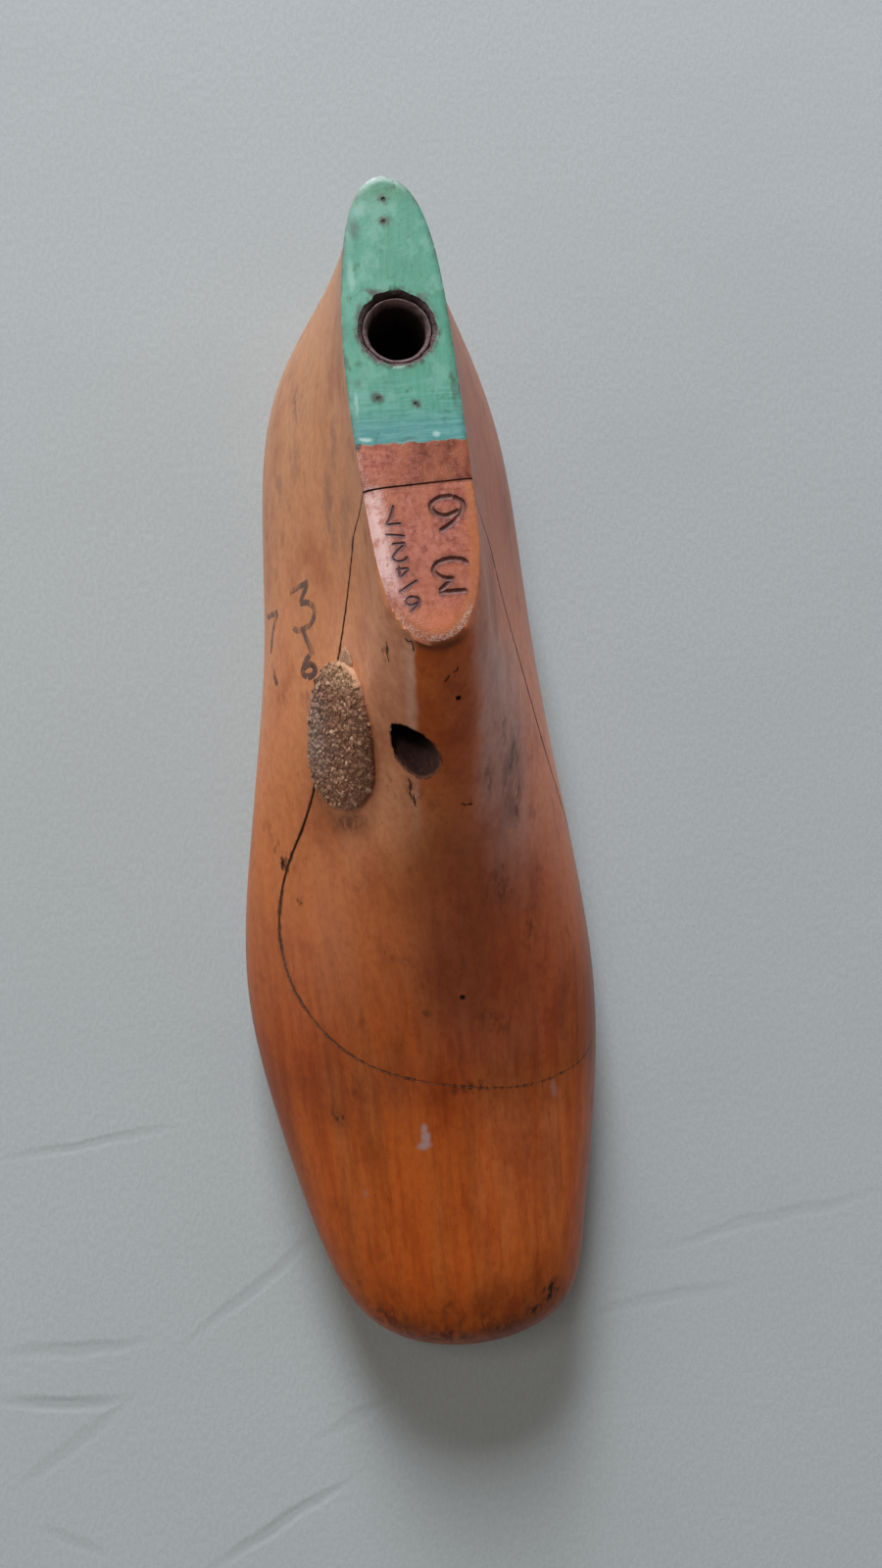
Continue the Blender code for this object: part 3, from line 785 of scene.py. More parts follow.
def joint_share(tree, shares, operation="MULTIPLY"):
    """One share from several, multiplied or by another operation."""
    total = shares[0]
    for share_too in shares[1:]:
        total = add(tree, "ShaderNodeMath", {0: total, 1: share_too}, operation=operation)
    return total


def soft_patches(tree, place, table):
    """The strongest of some soft-edged patches, for stain marks and for painted shade and reflection: (x, s,
    z), half sizes, turn in degrees, strength.
    """
    strongest = None
    for centre, size, turn, strength in table:
        local = add(
            tree,
            "ShaderNodeMapping",
            {"Vector": place, "Location": centre, "Rotation": (0, 0, math.radians(turn)), "Scale": size},
            vector_type="TEXTURE",
        )
        away = add(tree, "ShaderNodeVectorMath", {0: local}, "Value", operation="LENGTH")
        here = add(
            tree,
            "ShaderNodeMapRange",
            {"Value": away, "From Min": 1.15, "From Max": 0.3, "To Max": strength},
            interpolation_type="SMOOTHSTEP",
        )
        strongest = here if strongest is None else joint_share(tree, (strongest, here), "MAXIMUM")
    return strongest


def layered(tree, ground, layers):
    """Lays colours over a ground colour, each by its share; a third entry names another blend."""
    for share_of, colour, *blend in layers:
        ground = add(
            tree,
            "ShaderNodeMix",
            {MIX_SHARE: share_of, MIX_FIRST: ground, MIX_SECOND: linear(colour)},
            MIX_COLOUR,
            data_type="RGBA",
            blend_type=blend[0] if blend else "MIX",
        )
    return ground


def told(tree, grain, tells):
    """Patterns, each scaled to how strongly it tells on the colour."""
    return {
        part: add(tree, "ShaderNodeMath", {0: grain[part], 1: most}, operation="MULTIPLY")
        for part, most in tells.items()
    }


def values_at(tree, place, *attributes):
    """Values that ramps start from: a place's three parts, and distances stored on the points."""
    parts = tree.nodes.new("ShaderNodeSeparateXYZ")
    tree.links.new(place, parts.inputs[0])
    values = dict(zip("xsz", parts.outputs))
    for name in attributes:
        values[name] = add(tree, "ShaderNodeAttribute", out="Fac", attribute_name=name)
    return values


def relief(tree, heights):
    """Bump from shares and their heights in millimetres."""
    total = None
    for share_of, height in heights:
        scaled = add(tree, "ShaderNodeMath", {0: share_of, 1: height}, operation="MULTIPLY")
        total = scaled if total is None else joint_share(tree, (total, scaled), "ADD")
    return add(tree, "ShaderNodeBump", {"Height": total, "Strength": 1.0, "Distance": MM})


def ragged_place(tree, place, size, shake):
    """The same place, shaken so that what is drawn there gets an uneven outline."""
    drawn = add(tree, "ShaderNodeMapping", {"Vector": place, "Scale": (1 / size, 1 / size, 1 / size)})
    noisy = add(tree, "ShaderNodeTexNoise", {"Vector": drawn, "Scale": 1.0, "Detail": 4.0}, "Color")
    centred = add(tree, "ShaderNodeVectorMath", {0: noisy, 1: (0.5, 0.5, 0.5)}, operation="SUBTRACT")
    scaled = add(tree, "ShaderNodeVectorMath", {0: centred, "Scale": shake}, operation="SCALE")
    return add(tree, "ShaderNodeVectorMath", {0: place, 1: scaled}, operation="ADD")


# Beech, turned, stained and varnished, then worn and handled for years. Narrow growth streaks run
# along it, with short dark ray flecks; the varnish is uneven and dirt sits in the hollows.
BEECH_GRAIN = {
    "streaks": ((2.4, 60, 2.4), 3, 0.38, 0.66, 1.0),
    "bands": ((7, 110, 7), 2, 0.36, 0.64, 1.0),
    "mottled": ((1.3, 2.0, 1.3), 5, 0.36, 0.66, 1.0),
    "fibres": ((0.4, 12, 0.4), 3, 0.4, 0.7, 1.0),
    "flecks": ((0.5, 1.8, 0.5), 2, 0.63, 0.72, 0.35),
    "smudged": ((2.2, 6, 2.2), 3, 0.3, 0.62, 1.0),
    "toe_streaks": ((2.0, 8, 2.0), 5, 0.48, 0.68, 1.0),
    "blotches": ((14, 24, 14), 4, 0.48, 0.7, 1.0),
    "grime": ((4, 7, 4), 6, 0.57, 0.72, 1.0),
    "specks": ((0.7, 0.9, 0.7), 3, 0.7, 0.76, 0.8),
    "broken": ((1.2, 2.6, 1.2), 5, 0.42, 0.6, 1.0),
    "pores": ((0.22, 0.9, 0.22), 2, 0.5, 0.75, 1.0),
}
# The ground colour at places along the last, in mm from the heel
LATERAL_TONES = (
    (0, "#C89068"),
    (30, "#D0966C"),
    (95, "#E09464"),
    (125, "#CE7E4A"),
    (150, "#B86C40"),
    (172, "#AC5C2C"),
    (180, "#A0562C"),
    (193, "#B2602A"),
    (225, "#B85E24"),
    (243, "#B25C22"),
)
MEDIAL_TONES = (
    (0, "#BC8062"),
    (60, "#C26C48"),
    # Round 110 mm the medial tone is lightened, partly as painted reflection on that flank
    (110, "#F29E7C"),
    (145, "#C2724C"),
    (172, "#9E5428"),
    (180, "#9C5428"),
    (193, "#C16B3B"),
    (225, "#C0682F"),
    (243, "#9C521F"),
)
ZONES = {
    "medial": ("x", -2, 10, 1.0),
    "past_comb": ("s", 89, 93, 1.0),
    # Painted light: the lateral flank below the comb's tip is lightened where the comb shades it
    "painted_light_flank": ("x", 4, -8, 0.8),
    "painted_light_flank_end": ("s", 142, 114, 1.0),
    "painted_light_flank_start": ("s", 78, 92, 1.0),
    "painted_light_flank_low": ("x", -24, -14, 1.0),
    # Painted reflection: a pale greyish gloss over the medial flank beside the ridge
    "sheen_side": ("x", 7, 12, 0.75),
    "sheen_start": ("s", 86, 96, 1.0),
    "sheen_end": ("s", 150, 116, 1.0),
    "sheen_low": ("x", 25, 16, 1.0),
    "ridge_right": ("x", 10.5, 5.5, 1.0),
    "ridge_red": ("x", -1, 7, 0.8),
    "ridge_end": ("s", 132, 107, 1.0),
    "front": ("s", 110, 146, 0.9),
    "front_left": ("x", -13, 3, 1.0),
    "front_right": ("x", 36, 18, 1.0),
    "not_fore": ("s", 186, 172, 1.0),
    "toe": ("s", 218, 241, 0.7),
    "grainy": ("s", 120, 185, 1.0),
}
# The ridge's left corner is a crisp line, a pale worn edge with a painted highlight along it; it is drawn at
# places that are hardly shaken
CRISP_ZONES = {
    "ridge_left": ("x", -4.9, -2.5, 1.0),
    "corner_highlight_start": ("x", -6.0, -3.9, 0.9),
    "corner_highlight_end": ("x", -2.8, -3.9, 1.0),
}
DARK_STAINS_AND_SHADOW = (
    ((17.2, 231.6, 27.9), (2.2, 3.6, 6), 35, 1.3),
    ((13.2, 235.0, 28.6), (2.4, 1.8, 5), 10, 0.9),
    ((-18.3, 233.5, 27.0), (7, 3.5, 6), 30, 0.5),
    ((-6.8, 238.5, 28.7), (8, 2.2, 5), 5, 0.6),
    ((5.2, 237.4, 29.7), (8, 2.8, 5), 0, 0.45),
    ((-25.8, 187.4, 30.8), (1.5, 2.8, 5), -32, 1.1),
    ((-22.0, 181.0, 33.0), (1.0, 3.5, 4), 20, 0.45),
    ((-32.7, 131.3, 31.7), (1.4, 3.0, 6), 10, 1.3),
    ((-34.0, 128.0, 30.0), (0.8, 3.0, 4), 10, 0.5),
    ((-30.2, 139.7, 32.9), (0.8, 1.3, 3), 0, 0.9),
    ((-5.0, 165.5, 40.7), (1.6, 1.2, 5), 0, 0.5),
    ((7.5, 167.5, 40.7), (2.2, 1.4, 5), 0, 0.4),
    ((14.1, 141.3, 43.8), (0.9, 2.4, 4), -25, 0.6),
    ((2.5, 182.8, 37.1), (6, 2.2, 5), 0, 0.6),
    ((14.8, 107.0, 55.0), (1.0, 5, 6), 0, 0.35),
    ((16.8, 113.7, 51.4), (1.0, 6, 6), 0, 0.45),
    ((17.6, 122.9, 46.0), (1.2, 6, 6), 5, 0.5),
    ((13.0, 139.1, 44.6), (2.0, 6, 6), 8, 0.45),
    ((19.0, 150.0, 40.0), (2.2, 6, 6), 10, 0.4),
    ((11.0, 118.0, 55.0), (1.0, 6, 6), 0, 0.4),
    ((3.9, 98.3, 73.5), (0.9, 0.6, 2), 0, 0.9),
    # Painted shadow: a dark line just below the cork pad's toe end
    ((-18.1, 123.4, 45.1), (6, 2.0, 6), 0, 0.5),
    ((-4.5, 119.5, 56.5), (2.4, 3.0, 5), 0, 0.4),
    ((-9.0, 116.5, 53.4), (0.8, 4.0, 5), -12, 0.35),
    ((6.4, 121.6, 54.3), (2.6, 0.6, 3), 8, 0.4),
    ((-8.3, 92.4, 71.1), (0.6, 3.0, 4), 4, 0.4),
    ((9.4, 82.0, 76.5), (1.2, 6, 3), 0, 0.4),
    ((-22, 105, 44), (1.2, 8, 8), -16, 0.35),
    ((-9, 154, 44), (5, 1.3, 5), 20, 0.35),
    ((10, 170, 39), (3, 3, 5), 20, 0.4),
)
SOFT_STAINS_AND_SHADOW = (
    ((5.0, 160.0, 42), (16, 14, 12), 0, 0.2),
    ((12.0, 142.0, 44), (7, 15, 12), 5, 0.15),
    # Painted shadow below the cork pad's toe end
    ((-18.1, 124.0, 45), (7, 3.5, 8), 0, 0.22),
    ((-26.0, 187.0, 31), (4, 5, 8), -20, 0.25),
    ((14.0, 226.0, 28), (4, 9, 8), 10, 0.35),
)
VIOLET_STAINS_AND_REFLECTION = (
    ((-16.1, 62.0, 60.6), (1.6, 11, 9), 0, 0.55),
    ((-14.4, 50.7, 64.9), (1.0, 7, 7), 4, 0.4),
    ((-13.2, 66.0, 66.0), (1.8, 9, 8), 0, 0.45),
    ((-20.8, 36.4, 49.3), (1.4, 5.2, 5), 0, 0.85),
    ((-22.5, 47.9, 48.5), (2.2, 6, 6), 8, 0.35),
    ((-26.0, 52.0, 42.0), (1.6, 8, 6), -14, 0.4),
    ((-24.6, 97.3, 43.8), (1.2, 2.6, 4), -20, 0.9),
    ((-22.6, 92.0, 45.5), (1.1, 1.2, 3), 0, 0.6),
    # Partly dirt and partly painted reflection: a greyish violet smudge on the medial flank
    ((13.6, 84.1, 62.9), (3, 16, 9), 0, 0.4),
    ((16.4, 118.0, 49.0), (3.6, 19, 12), 5, 0.55),
)
PALE_SCUFFS = (
    ((-7.7, 190.9, 35.6), (0.9, 1.5, 4), 0, 0.8),
    ((-7.5, 192.7, 35.6), (1.3, 1.9, 4), 0, 0.85),
    ((-8.0, 194.4, 35.5), (2.0, 1.2, 4), -12, 0.85),
    ((21.6, 185.8, 33.0), (0.9, 2.8, 4), 0, 0.3),
    ((-21.5, 204.5, 31.0), (0.8, 1.2, 4), 0, 0.2),
)
# How strongly each part of the grain tells: on the colour, then its height in millimetres
GRAIN_TELLS = {
    "streaks": 0.36,
    "bands": 0.4,
    "fibres": 0.14,
    "mottled": 0.22,
    "blotches": 0.42,
    "grime": 0.28,
}
# The parts of the grain that hardly show on the worn flanks
GROWN = ("streaks", "bands", "fibres")
GRAIN_HEIGHTS = {"streaks": -0.008, "pores": -0.006, "flecks": -0.008, "blotches": 0.03}
DENTED_BY_DIRT = -0.04
# Wear that follows the comb's rim and the cuts
BEECH_EDGES = {
    "rim": ("rim", 2.6, 0.6, 0.6),
    "seam": ("seam", 0.5, 0.05, 0.85),
    "tip": ("rim", 3.2, 1.2, 0.92),
}
# How coarsely and how far places are shaken, in millimetres, for zones, crisp lines, wear and scuffs
ZONES_SHAKEN = (9, 6)
CRISP_SHAKEN = (3.5, 1.6)
WEAR_SHAKEN = (2.2, 3.0)
SCUFFS_SHAKEN = (1.2, 0.9)


def tones_along(tree, along, tones):
    """A colour that changes slowly from the heel to the toe."""
    share_along = add(tree, "ShaderNodeMath", {0: along, 1: LENGTH}, operation="DIVIDE")
    stops = [(min(s / LENGTH, 1.0), linear(tone)) for s, tone in tones]
    return add(tree, "ShaderNodeValToRGB", {"Fac": share_along}, stops=stops)


def varnished_beech(name, inked=False):
    made, tree, surface = new_material(
        name, Coat_Weight=0.08, Coat_Roughness=0.25, Specular_IOR_Level=0.27
    )
    place = on_last(tree)
    grain = patterns(tree, place, BEECH_GRAIN)
    values = values_at(tree, ragged_place(tree, place, *ZONES_SHAKEN), "rim", "seam")
    zone = ramps(tree, values, ZONES)
    zone.update(ramps(tree, values_at(tree, ragged_place(tree, place, *CRISP_SHAKEN)), CRISP_ZONES))
    edge = ramps(tree, values, BEECH_EDGES)
    shown = add(tree, "ShaderNodeMapRange", {"Value": zone["grainy"], "To Min": 0.25, "To Max": 1.0})
    tells = told(tree, grain, GRAIN_TELLS)
    for part in GROWN:
        tells[part] = joint_share(tree, (tells[part], shown))
    worn_place = ragged_place(tree, place, *WEAR_SHAKEN)
    # dark also paints a shadow line below the cork pad
    dark = joint_share(tree, (soft_patches(tree, worn_place, DARK_STAINS_AND_SHADOW), grain["broken"]))
    # violet is dirt, and on the medial flank also a painted reflection
    violet = joint_share(tree, (soft_patches(tree, worn_place, VIOLET_STAINS_AND_REFLECTION), grain["smudged"]))
    pale = soft_patches(tree, ragged_place(tree, place, *SCUFFS_SHAKEN), PALE_SCUFFS)

    def joined(*parts):
        return joint_share(tree, [zone[part] for part in parts])

    ridge = joined("past_comb", "ridge_left", "ridge_right", "ridge_end")
    front = joined("front", "front_left", "front_right", "not_fore")
    corner = joined("past_comb", "corner_highlight_start", "corner_highlight_end", "ridge_end")
    painted_light_flank = joined(*[part for part in zone if part.startswith("painted_light_flank")])
    sheen = joined(*[part for part in zone if part.startswith("sheen")])
    ground = add(
        tree,
        "ShaderNodeMix",
        {
            MIX_SHARE: zone["medial"],
            MIX_FIRST: tones_along(tree, values["s"], LATERAL_TONES),
            MIX_SECOND: tones_along(tree, values["s"], MEDIAL_TONES),
        },
        MIX_COLOUR,
        data_type="RGBA",
    )
    colour = layered(
        tree,
        ground,
        (
            # Painted light over the lateral flank that the comb shades
            (painted_light_flank, "#FFB68C"),
            (front, "#A05636"),
            # The ridge band's orange is partly the wood's own tone and partly painted light, lightened where
            # the comb shades it
            (ridge, "#DE783A"),
            (joint_share(tree, (ridge, zone["ridge_red"])), "#CC6C46"),
            # Painted highlight along the ridge's left corner, over its pale worn edge
            (corner, "#FFC8AE"),
            # Painted reflection on the medial flank beside the ridge
            (sheen, "#D8A89E"),
            (tells["bands"], "#E8B070", "SOFT_LIGHT"),
            (tells["streaks"], "#B08468", "MULTIPLY"),
            (tells["fibres"], "#C09A7C", "MULTIPLY"),
            (grain["flecks"], "#B07C5C", "MULTIPLY"),
            (tells["mottled"], "#BE9480", "MULTIPLY"),
            (tells["blotches"], "#BC8468", "MULTIPLY"),
            (tells["grime"], "#94685A", "MULTIPLY"),
            (joint_share(tree, (zone["toe"], grain["toe_streaks"])), "#6A3413"),
            (joint_share(tree, (zone["toe"], grain["grime"])), "#48260F"),
            # These also paint a soft shadow below the cork pad
            (soft_patches(tree, worn_place, SOFT_STAINS_AND_SHADOW), "#7A4A38", "MULTIPLY"),
            (violet, "#7A5E58"),
            (grain["specks"], "#5C3423"),
            (dark, "#32180F"),
            (joint_share(tree, (edge["rim"], grain["broken"], zone["past_comb"])), "#4A2A1E"),
            (joint_share(tree, (edge["tip"], zone["past_comb"])), "#6A3A26"),
            (joint_share(tree, (edge["seam"], grain["broken"])), "#40241B"),
            (pale, "#A98F8C"),
        ),
    )
    if inked:
        ink = add(tree, "ShaderNodeAttribute", out="Fac", attribute_name="ink")
        colour = layered(tree, colour, ((joint_share(tree, (ink, grain["smudged"])), "#6E5248"),))
    tree.links.new(colour, surface.inputs["Base Color"])
    dull = joint_share(tree, (dark, violet, tells["grime"]), "MAXIMUM")
    roughness = add(tree, "ShaderNodeMapRange", {"Value": dull, "To Min": 0.4, "To Max": 0.65})
    tree.links.new(roughness, surface.inputs["Roughness"])
    heights = [(grain[part], height) for part, height in GRAIN_HEIGHTS.items()]
    heights.append((dark, DENTED_BY_DIRT))
    tree.links.new(relief(tree, heights), surface.inputs["Normal"])
    return made


# Brushed enamel over the heel half of the planed comb, and a thin glossy red-brown stain over the
# rest. The enamel shows its brush strokes and is chalky and dirty in places; the rim is worn bare.
COMB_GRAIN = {
    "cloudy": ((4.5, 7, 4.5), 4, 0.38, 0.64, 1.0),
    "chalky": ((4, 5, 4), 6, 0.48, 0.66, 1.0),
    "dirty": ((2.6, 3.4, 2.6), 6, 0.58, 0.7, 0.7),
    "pinholes": ((0.6, 0.7, 0.6), 3, 0.66, 0.73, 0.6),
    "mottled": ((0.9, 1.1, 0.9), 4, 0.4, 0.66, 1.0),
    "patchy": ((2.6, 2.2, 2.6), 5, 0.42, 0.66, 0.45),
    "raised": ((0.5, 0.26, 0.5), 2, 0.38, 0.72, 1.0),
    "rubbed": ((1.2, 2.2, 1.2), 5, 0.3, 0.7, 1.0),
    "glints": ((1.3, 2.2, 1.3), 5, 0.32, 0.52, 1.0),
    "highlight_sparks": ((0.35, 0.3, 0.35), 3, 0.42, 0.62, 1.0),
}
BRUSHED = {
    "strokes": ((0.7, 7, 3), 3, 0.36, 0.66, 1.0),
    "dark_strokes": ((1.1, 6, 4), 4, 0.48, 0.7, 1.0),
}
BRUSHED_ACROSS = {"across": ((7, 0.6, 3), 3, 0.4, 0.66, 1.0)}
COMB_TELLS = {
    "cloudy": 0.6,
    "chalky": 0.6,
    "mottled": 0.5,
    "strokes": 0.4,
    "dark_strokes": 0.3,
    "across": 0.6,
}
STROKES_SHAKEN = (16, 3)
ACROSS_SHAKEN = (6, 1.2)
COMB_SHAKEN = (1.6, 1.2)
COMB_ZONES = {
    "stained": ("s", 54.7, 55.2, 1.0),
    "front_strokes": ("s", 40, 47, 0.9),
    "teal": ("s", 47, 53, 0.8),
    "block_part": ("s", 62.5, 63.4, 1.0),
    "right_half": ("x", 1, 4, 1.0),
    "left_half": ("x", -1, -3.5, 1.0),
    "painted_highlight_end": ("s", 86, 78, 1.0),
    "band_left": ("x", 4, -7, 1.0),
    "tip": ("s", 83, 90, 0.7),
    "tip_most": ("s", 85, 88.5, 1.0),
    "heel_tip": ("s", 6.5, 2.8, 0.8),
    "heel_green": ("s", 9.5, 5, 0.6),
    "mint_and_gloss_side": ("x", -2, -8, 0.6),
}
COMB_EDGES = {
    "bare": ("rim", 0.5, 0.12, 0.85),
    "dark_rim": ("rim", 1.3, 0.2, 0.5),
    "orange_rim": ("rim", 2.3, 1.3, 0.6),
    "chipped": ("seam", 1.2, 0.3, 0.95),
    "painted_tip_highlight": ("rim", 1.7, 0.4, 0.95),
    "pale_rim": ("rim", 1.5, 0.6, 1.0),
    "stamped": ("seam", 0.75, 0.05, 0.85),
    "painted_highlight_rim": ("rim", 4.6, 1.2, 0.8),
}
COMB_DIRT = (
    ((-7.1, 12.8, 75), (1.4, 2.8, 4), 0, 0.6),
    ((-5.8, 46.0, 76), (1.7, 1.2, 4), 20, 0.75),
    ((1.2, 47.6, 76), (0.9, 0.9, 4), 0, 0.6),
    ((-9.0, 43.0, 76), (1.2, 1.2, 4), 0, 0.3),
    ((-1.0, 7.1, 73), (1.0, 1.0, 4), 0, 0.55),
    ((-1.4, 11.6, 73), (0.8, 0.9, 4), 0, 0.55),
    ((-10.2, 55.3, 77), (1.0, 0.9, 4), 0, 0.95),
    ((4.8, 26.6, 75), (1.4, 0.9, 4), 0, 0.4),
    ((-4.6, 25.4, 75), (2.4, 0.9, 4), 20, 0.8),
    ((-7.4, 29.0, 75), (0.8, 2.4, 4), 0, 0.5),
    ((-0.8, 54.3, 77), (2.4, 0.5, 4), 0, 0.4),
    ((8.6, 45.0, 76), (0.7, 5.0, 4), 0, 0.5),
)
COMB_SCUFFS = (
    ((-8.6, 53.9, 77), (1.4, 0.6, 4), 0, 0.8),
    ((4.4, 53.6, 77), (0.9, 0.7, 4), 0, 0.7),
    ((-8.4, 22.0, 75), (0.8, 4.0, 4), 0, 0.35),
    ((-5.6, 9.0, 74), (1.2, 2.2, 4), 30, 0.3),
    ((-9.6, 47.0, 77), (0.5, 3.0, 4), 0, 0.4),
)


def painted_comb(name):
    made, tree, surface = new_material(name, Specular_IOR_Level=0.6)
    place = on_last(tree)
    grain = patterns(tree, place, COMB_GRAIN)
    grain.update(patterns(tree, ragged_place(tree, place, *STROKES_SHAKEN), BRUSHED))
    grain.update(patterns(tree, ragged_place(tree, place, *ACROSS_SHAKEN), BRUSHED_ACROSS))
    worn_place = ragged_place(tree, place, *COMB_SHAKEN)
    values = values_at(tree, worn_place, "rim", "seam")
    zone = ramps(tree, values, COMB_ZONES)
    zone.update(ramps(tree, values, COMB_EDGES))
    dirt = soft_patches(tree, worn_place, COMB_DIRT)
    tells = told(tree, grain, COMB_TELLS)
    enamel = layered(
        tree,
        linear("#43987E"),
        (
            (tells["cloudy"], "#388C72"),
            # Pale mint cloud patches kept to the lateral side: partly the enamel's own patches, partly
            # painted reflection
            (joint_share(tree, (zone["mint_and_gloss_side"], grain["cloudy"])), "#6AAE98"),
            (tells["strokes"], "#5EAC8C"),
            (tells["dark_strokes"], "#2F7C5A"),
            (tells["chalky"], "#74B29C"),
            (zone["teal"], "#408E90"),
            (joint_share(tree, (zone["front_strokes"], tells["across"])), "#74B4AC"),
            (zone["heel_green"], "#2E7C50"),
            (joint_share(tree, (zone["heel_tip"], zone["pale_rim"])), "#B4CFC6"),
            (grain["pinholes"], "#4A7A64"),
            (grain["dirty"], "#6A9A7E", "MULTIPLY"),
            (joint_share(tree, (zone["dark_rim"], grain["rubbed"])), "#2C5A4A"),
            (soft_patches(tree, worn_place, COMB_SCUFFS), "#B9DAD2"),
            (joint_share(tree, (zone["bare"], grain["rubbed"])), "#4E5A4C"),
            (joint_share(tree, (zone["chipped"], grain["rubbed"])), "#3E342C"),
        ),
    )
    orange = joint_share(tree, (zone["orange_rim"], zone["right_half"], zone["block_part"]))
    # Painted highlight: a pale pink band along the lateral rim of the block's comb
    painted_highlight_parts = [zone[part] for part in ("painted_highlight_rim", "left_half", "painted_highlight_end", "block_part")]
    painted_highlight = joint_share(tree, painted_highlight_parts + [grain["glints"]])
    stain = layered(
        tree,
        linear("#905040"),
        (
            (zone["band_left"], "#C0745E"),
            # The block's part of the stain is lighter as painted reflection of its gloss
            (zone["block_part"], "#C67C6A"),
            (tells["mottled"], "#A0604C", "MULTIPLY"),
            (grain["patchy"], "#A85C40", "MULTIPLY"),
            (tells["cloudy"], "#BC7050"),
            (zone["tip"], "#D27C52"),
            (orange, "#C47A4C"),
            (painted_highlight, "#EAC2BC"),
            (joint_share(tree, (zone["stamped"], grain["rubbed"])), "#6E4038"),
            (joint_share(tree, (zone["bare"], grain["rubbed"])), "#94603F"),
            # Painted highlight: pale sparkle along the rim at the comb's tip
            (joint_share(tree, (zone["painted_tip_highlight"], zone["tip_most"], grain["highlight_sparks"])), "#F4D6CC"),
        ),
    )
    colour = add(
        tree,
        "ShaderNodeMix",
        {MIX_SHARE: zone["stained"], MIX_FIRST: enamel, MIX_SECOND: stain},
        MIX_COLOUR,
        data_type="RGBA",
    )
    colour = layered(tree, colour, ((dirt, "#33302A"),))
    tree.links.new(colour, surface.inputs["Base Color"])
    roughness = add(tree, "ShaderNodeMapRange", {"Value": zone["stained"], "To Min": 0.46, "To Max": 0.24})
    tree.links.new(roughness, surface.inputs["Roughness"])
    sparkle = joint_share(tree, (grain["raised"], zone["stained"]))
    heights = ((grain["strokes"], 0.006), (grain["mottled"], 0.008), (sparkle, 0.016))
    tree.links.new(relief(tree, heights), surface.inputs["Normal"])
    return made


# How coarsely and how far long marks are shaken
MARKS_SHAKEN = (25, 6)


def simple(name, ground, table, tones, roughness, heights, zones=None, marks=None, **constants):
    """A simpler surface: its ground colour, noise over it, roughness, and how high the noise stands."""
    made, tree, surface = new_material(name, Roughness=roughness, **constants)
    place = on_last(tree)
    grain = patterns(tree, place, table)
    grain.update(ramps(tree, values_at(tree, place, "seam"), zones or {}))
    if marks:
        grain["marks"] = soft_patches(tree, ragged_place(tree, place, *MARKS_SHAKEN), marks)
    colour = layered(tree, linear(ground), [(grain[which], *tone) for which, *tone in tones])
    tree.links.new(colour, surface.inputs["Base Color"])
    tree.links.new(relief(tree, [(grain[which], high) for which, high in heights]), surface.inputs["Normal"])
    return made


WOOD = varnished_beech("varnished_beech")
INKED_WOOD = varnished_beech("varnished_beech_with_ink", inked=True)
COMB = painted_comb("enamelled_and_stained_comb")
# Sawn beech, darkened by age: fuzzy, matt, with the saw's fine scores across it
SAWN = simple(
    "sawn_beech",
    "#6E4429",
    {
        "scores": ((30, 0.5, 0.5), 2, 0.35, 0.65, 0.6),
        "fibres": ((0.3, 7, 0.3), 3, 0.4, 0.7, 0.6),
        "dirt": ((9, 14, 9), 5, 0.45, 0.7, 0.7),
    },
    (("fibres", "#8A5A36"), ("scores", "#9A7250", "MULTIPLY"), ("dirt", "#3A2216")),
    0.78,
    (("scores", 0.05), ("fibres", 0.03)),
)
# Bored beech: end grain torn by the bit and dark with old oil; painted shade darkens the wall on the heel
# side
BORED = simple(
    "bored_beech",
    "#2E1B14",
    {"torn": ((0.6, 0.6, 1.6), 4, 0.4, 0.7, 0.7), "oily": ((4, 4, 6), 3, 0.45, 0.65, 0.8)},
    (("mouth", "#6A5656"), ("torn", "#5A4038", "MULTIPLY"), ("painted_shade_far_side", "#2A1B17")),
    0.7,
    (("torn", 0.12),),
    {"mouth": ("z", 73.9, 74.6, 0.9), "painted_shade_far_side": ("s", 29, 26.2, 0.8)},
)
# Beech torn by a hand drill: ragged pale fibres at the mouth, dark with dirt, and nearly black with painted
# shade further in
TORN = simple(
    "torn_beech_in_hook_hole",
    "#4E2E2C",
    {"torn": ((0.5, 1.8, 0.5), 5, 0.4, 0.68, 0.75), "oily": ((3, 4, 3), 3, 0.45, 0.7, 0.5)},
    (
        ("torn", "#7C504A"),
        ("oily", "#3A221A"),
        ("painted_shade_inside", "#120A08"),
        ("torn_rim", "#A06A50"),
    ),
    0.75,
    (("torn", 0.2),),
    {"painted_shade_inside": ("seam", 1.5, 7.0, 0.9), "torn_rim": ("seam", 0.8, 0.2, 0.8)},
)
# Packed dirt in dents, checks and nail holes: nearly black, dull and crumbly
GRIME = simple(
    "packed_dirt",
    "#1E120E",
    {"crumbs": ((0.3, 0.3, 0.3), 3, 0.4, 0.7, 0.6)},
    (("crumbs", "#3B261D"),),
    0.85,
    (("crumbs", 0.03),),
)
# Small dents in the enamel, filled with rubbed-in dirt: soft greenish brown
DENTED = simple(
    "dirty_dent_in_enamel",
    "#3E5A48",
    {"crumbs": ((0.3, 0.3, 0.3), 3, 0.4, 0.6, 0.8)},
    (("crumbs", "#2A2A20"),),
    0.7,
    (("crumbs", 0.03),),
)
# Struck wood: crushed fibres, darker than the stain round them
STAMPED = simple(
    "struck_beech",
    "#7A463C",
    {"crushed": ((0.5, 0.8, 0.5), 4, 0.4, 0.7, 0.8), "worn": ((2.2, 2.2, 2.2), 3, 0.5, 0.7, 0.7)},
    (("crushed", "#54302A"), ("worn", "#A06250")),
    0.5,
    (("crushed", 0.03),),
)
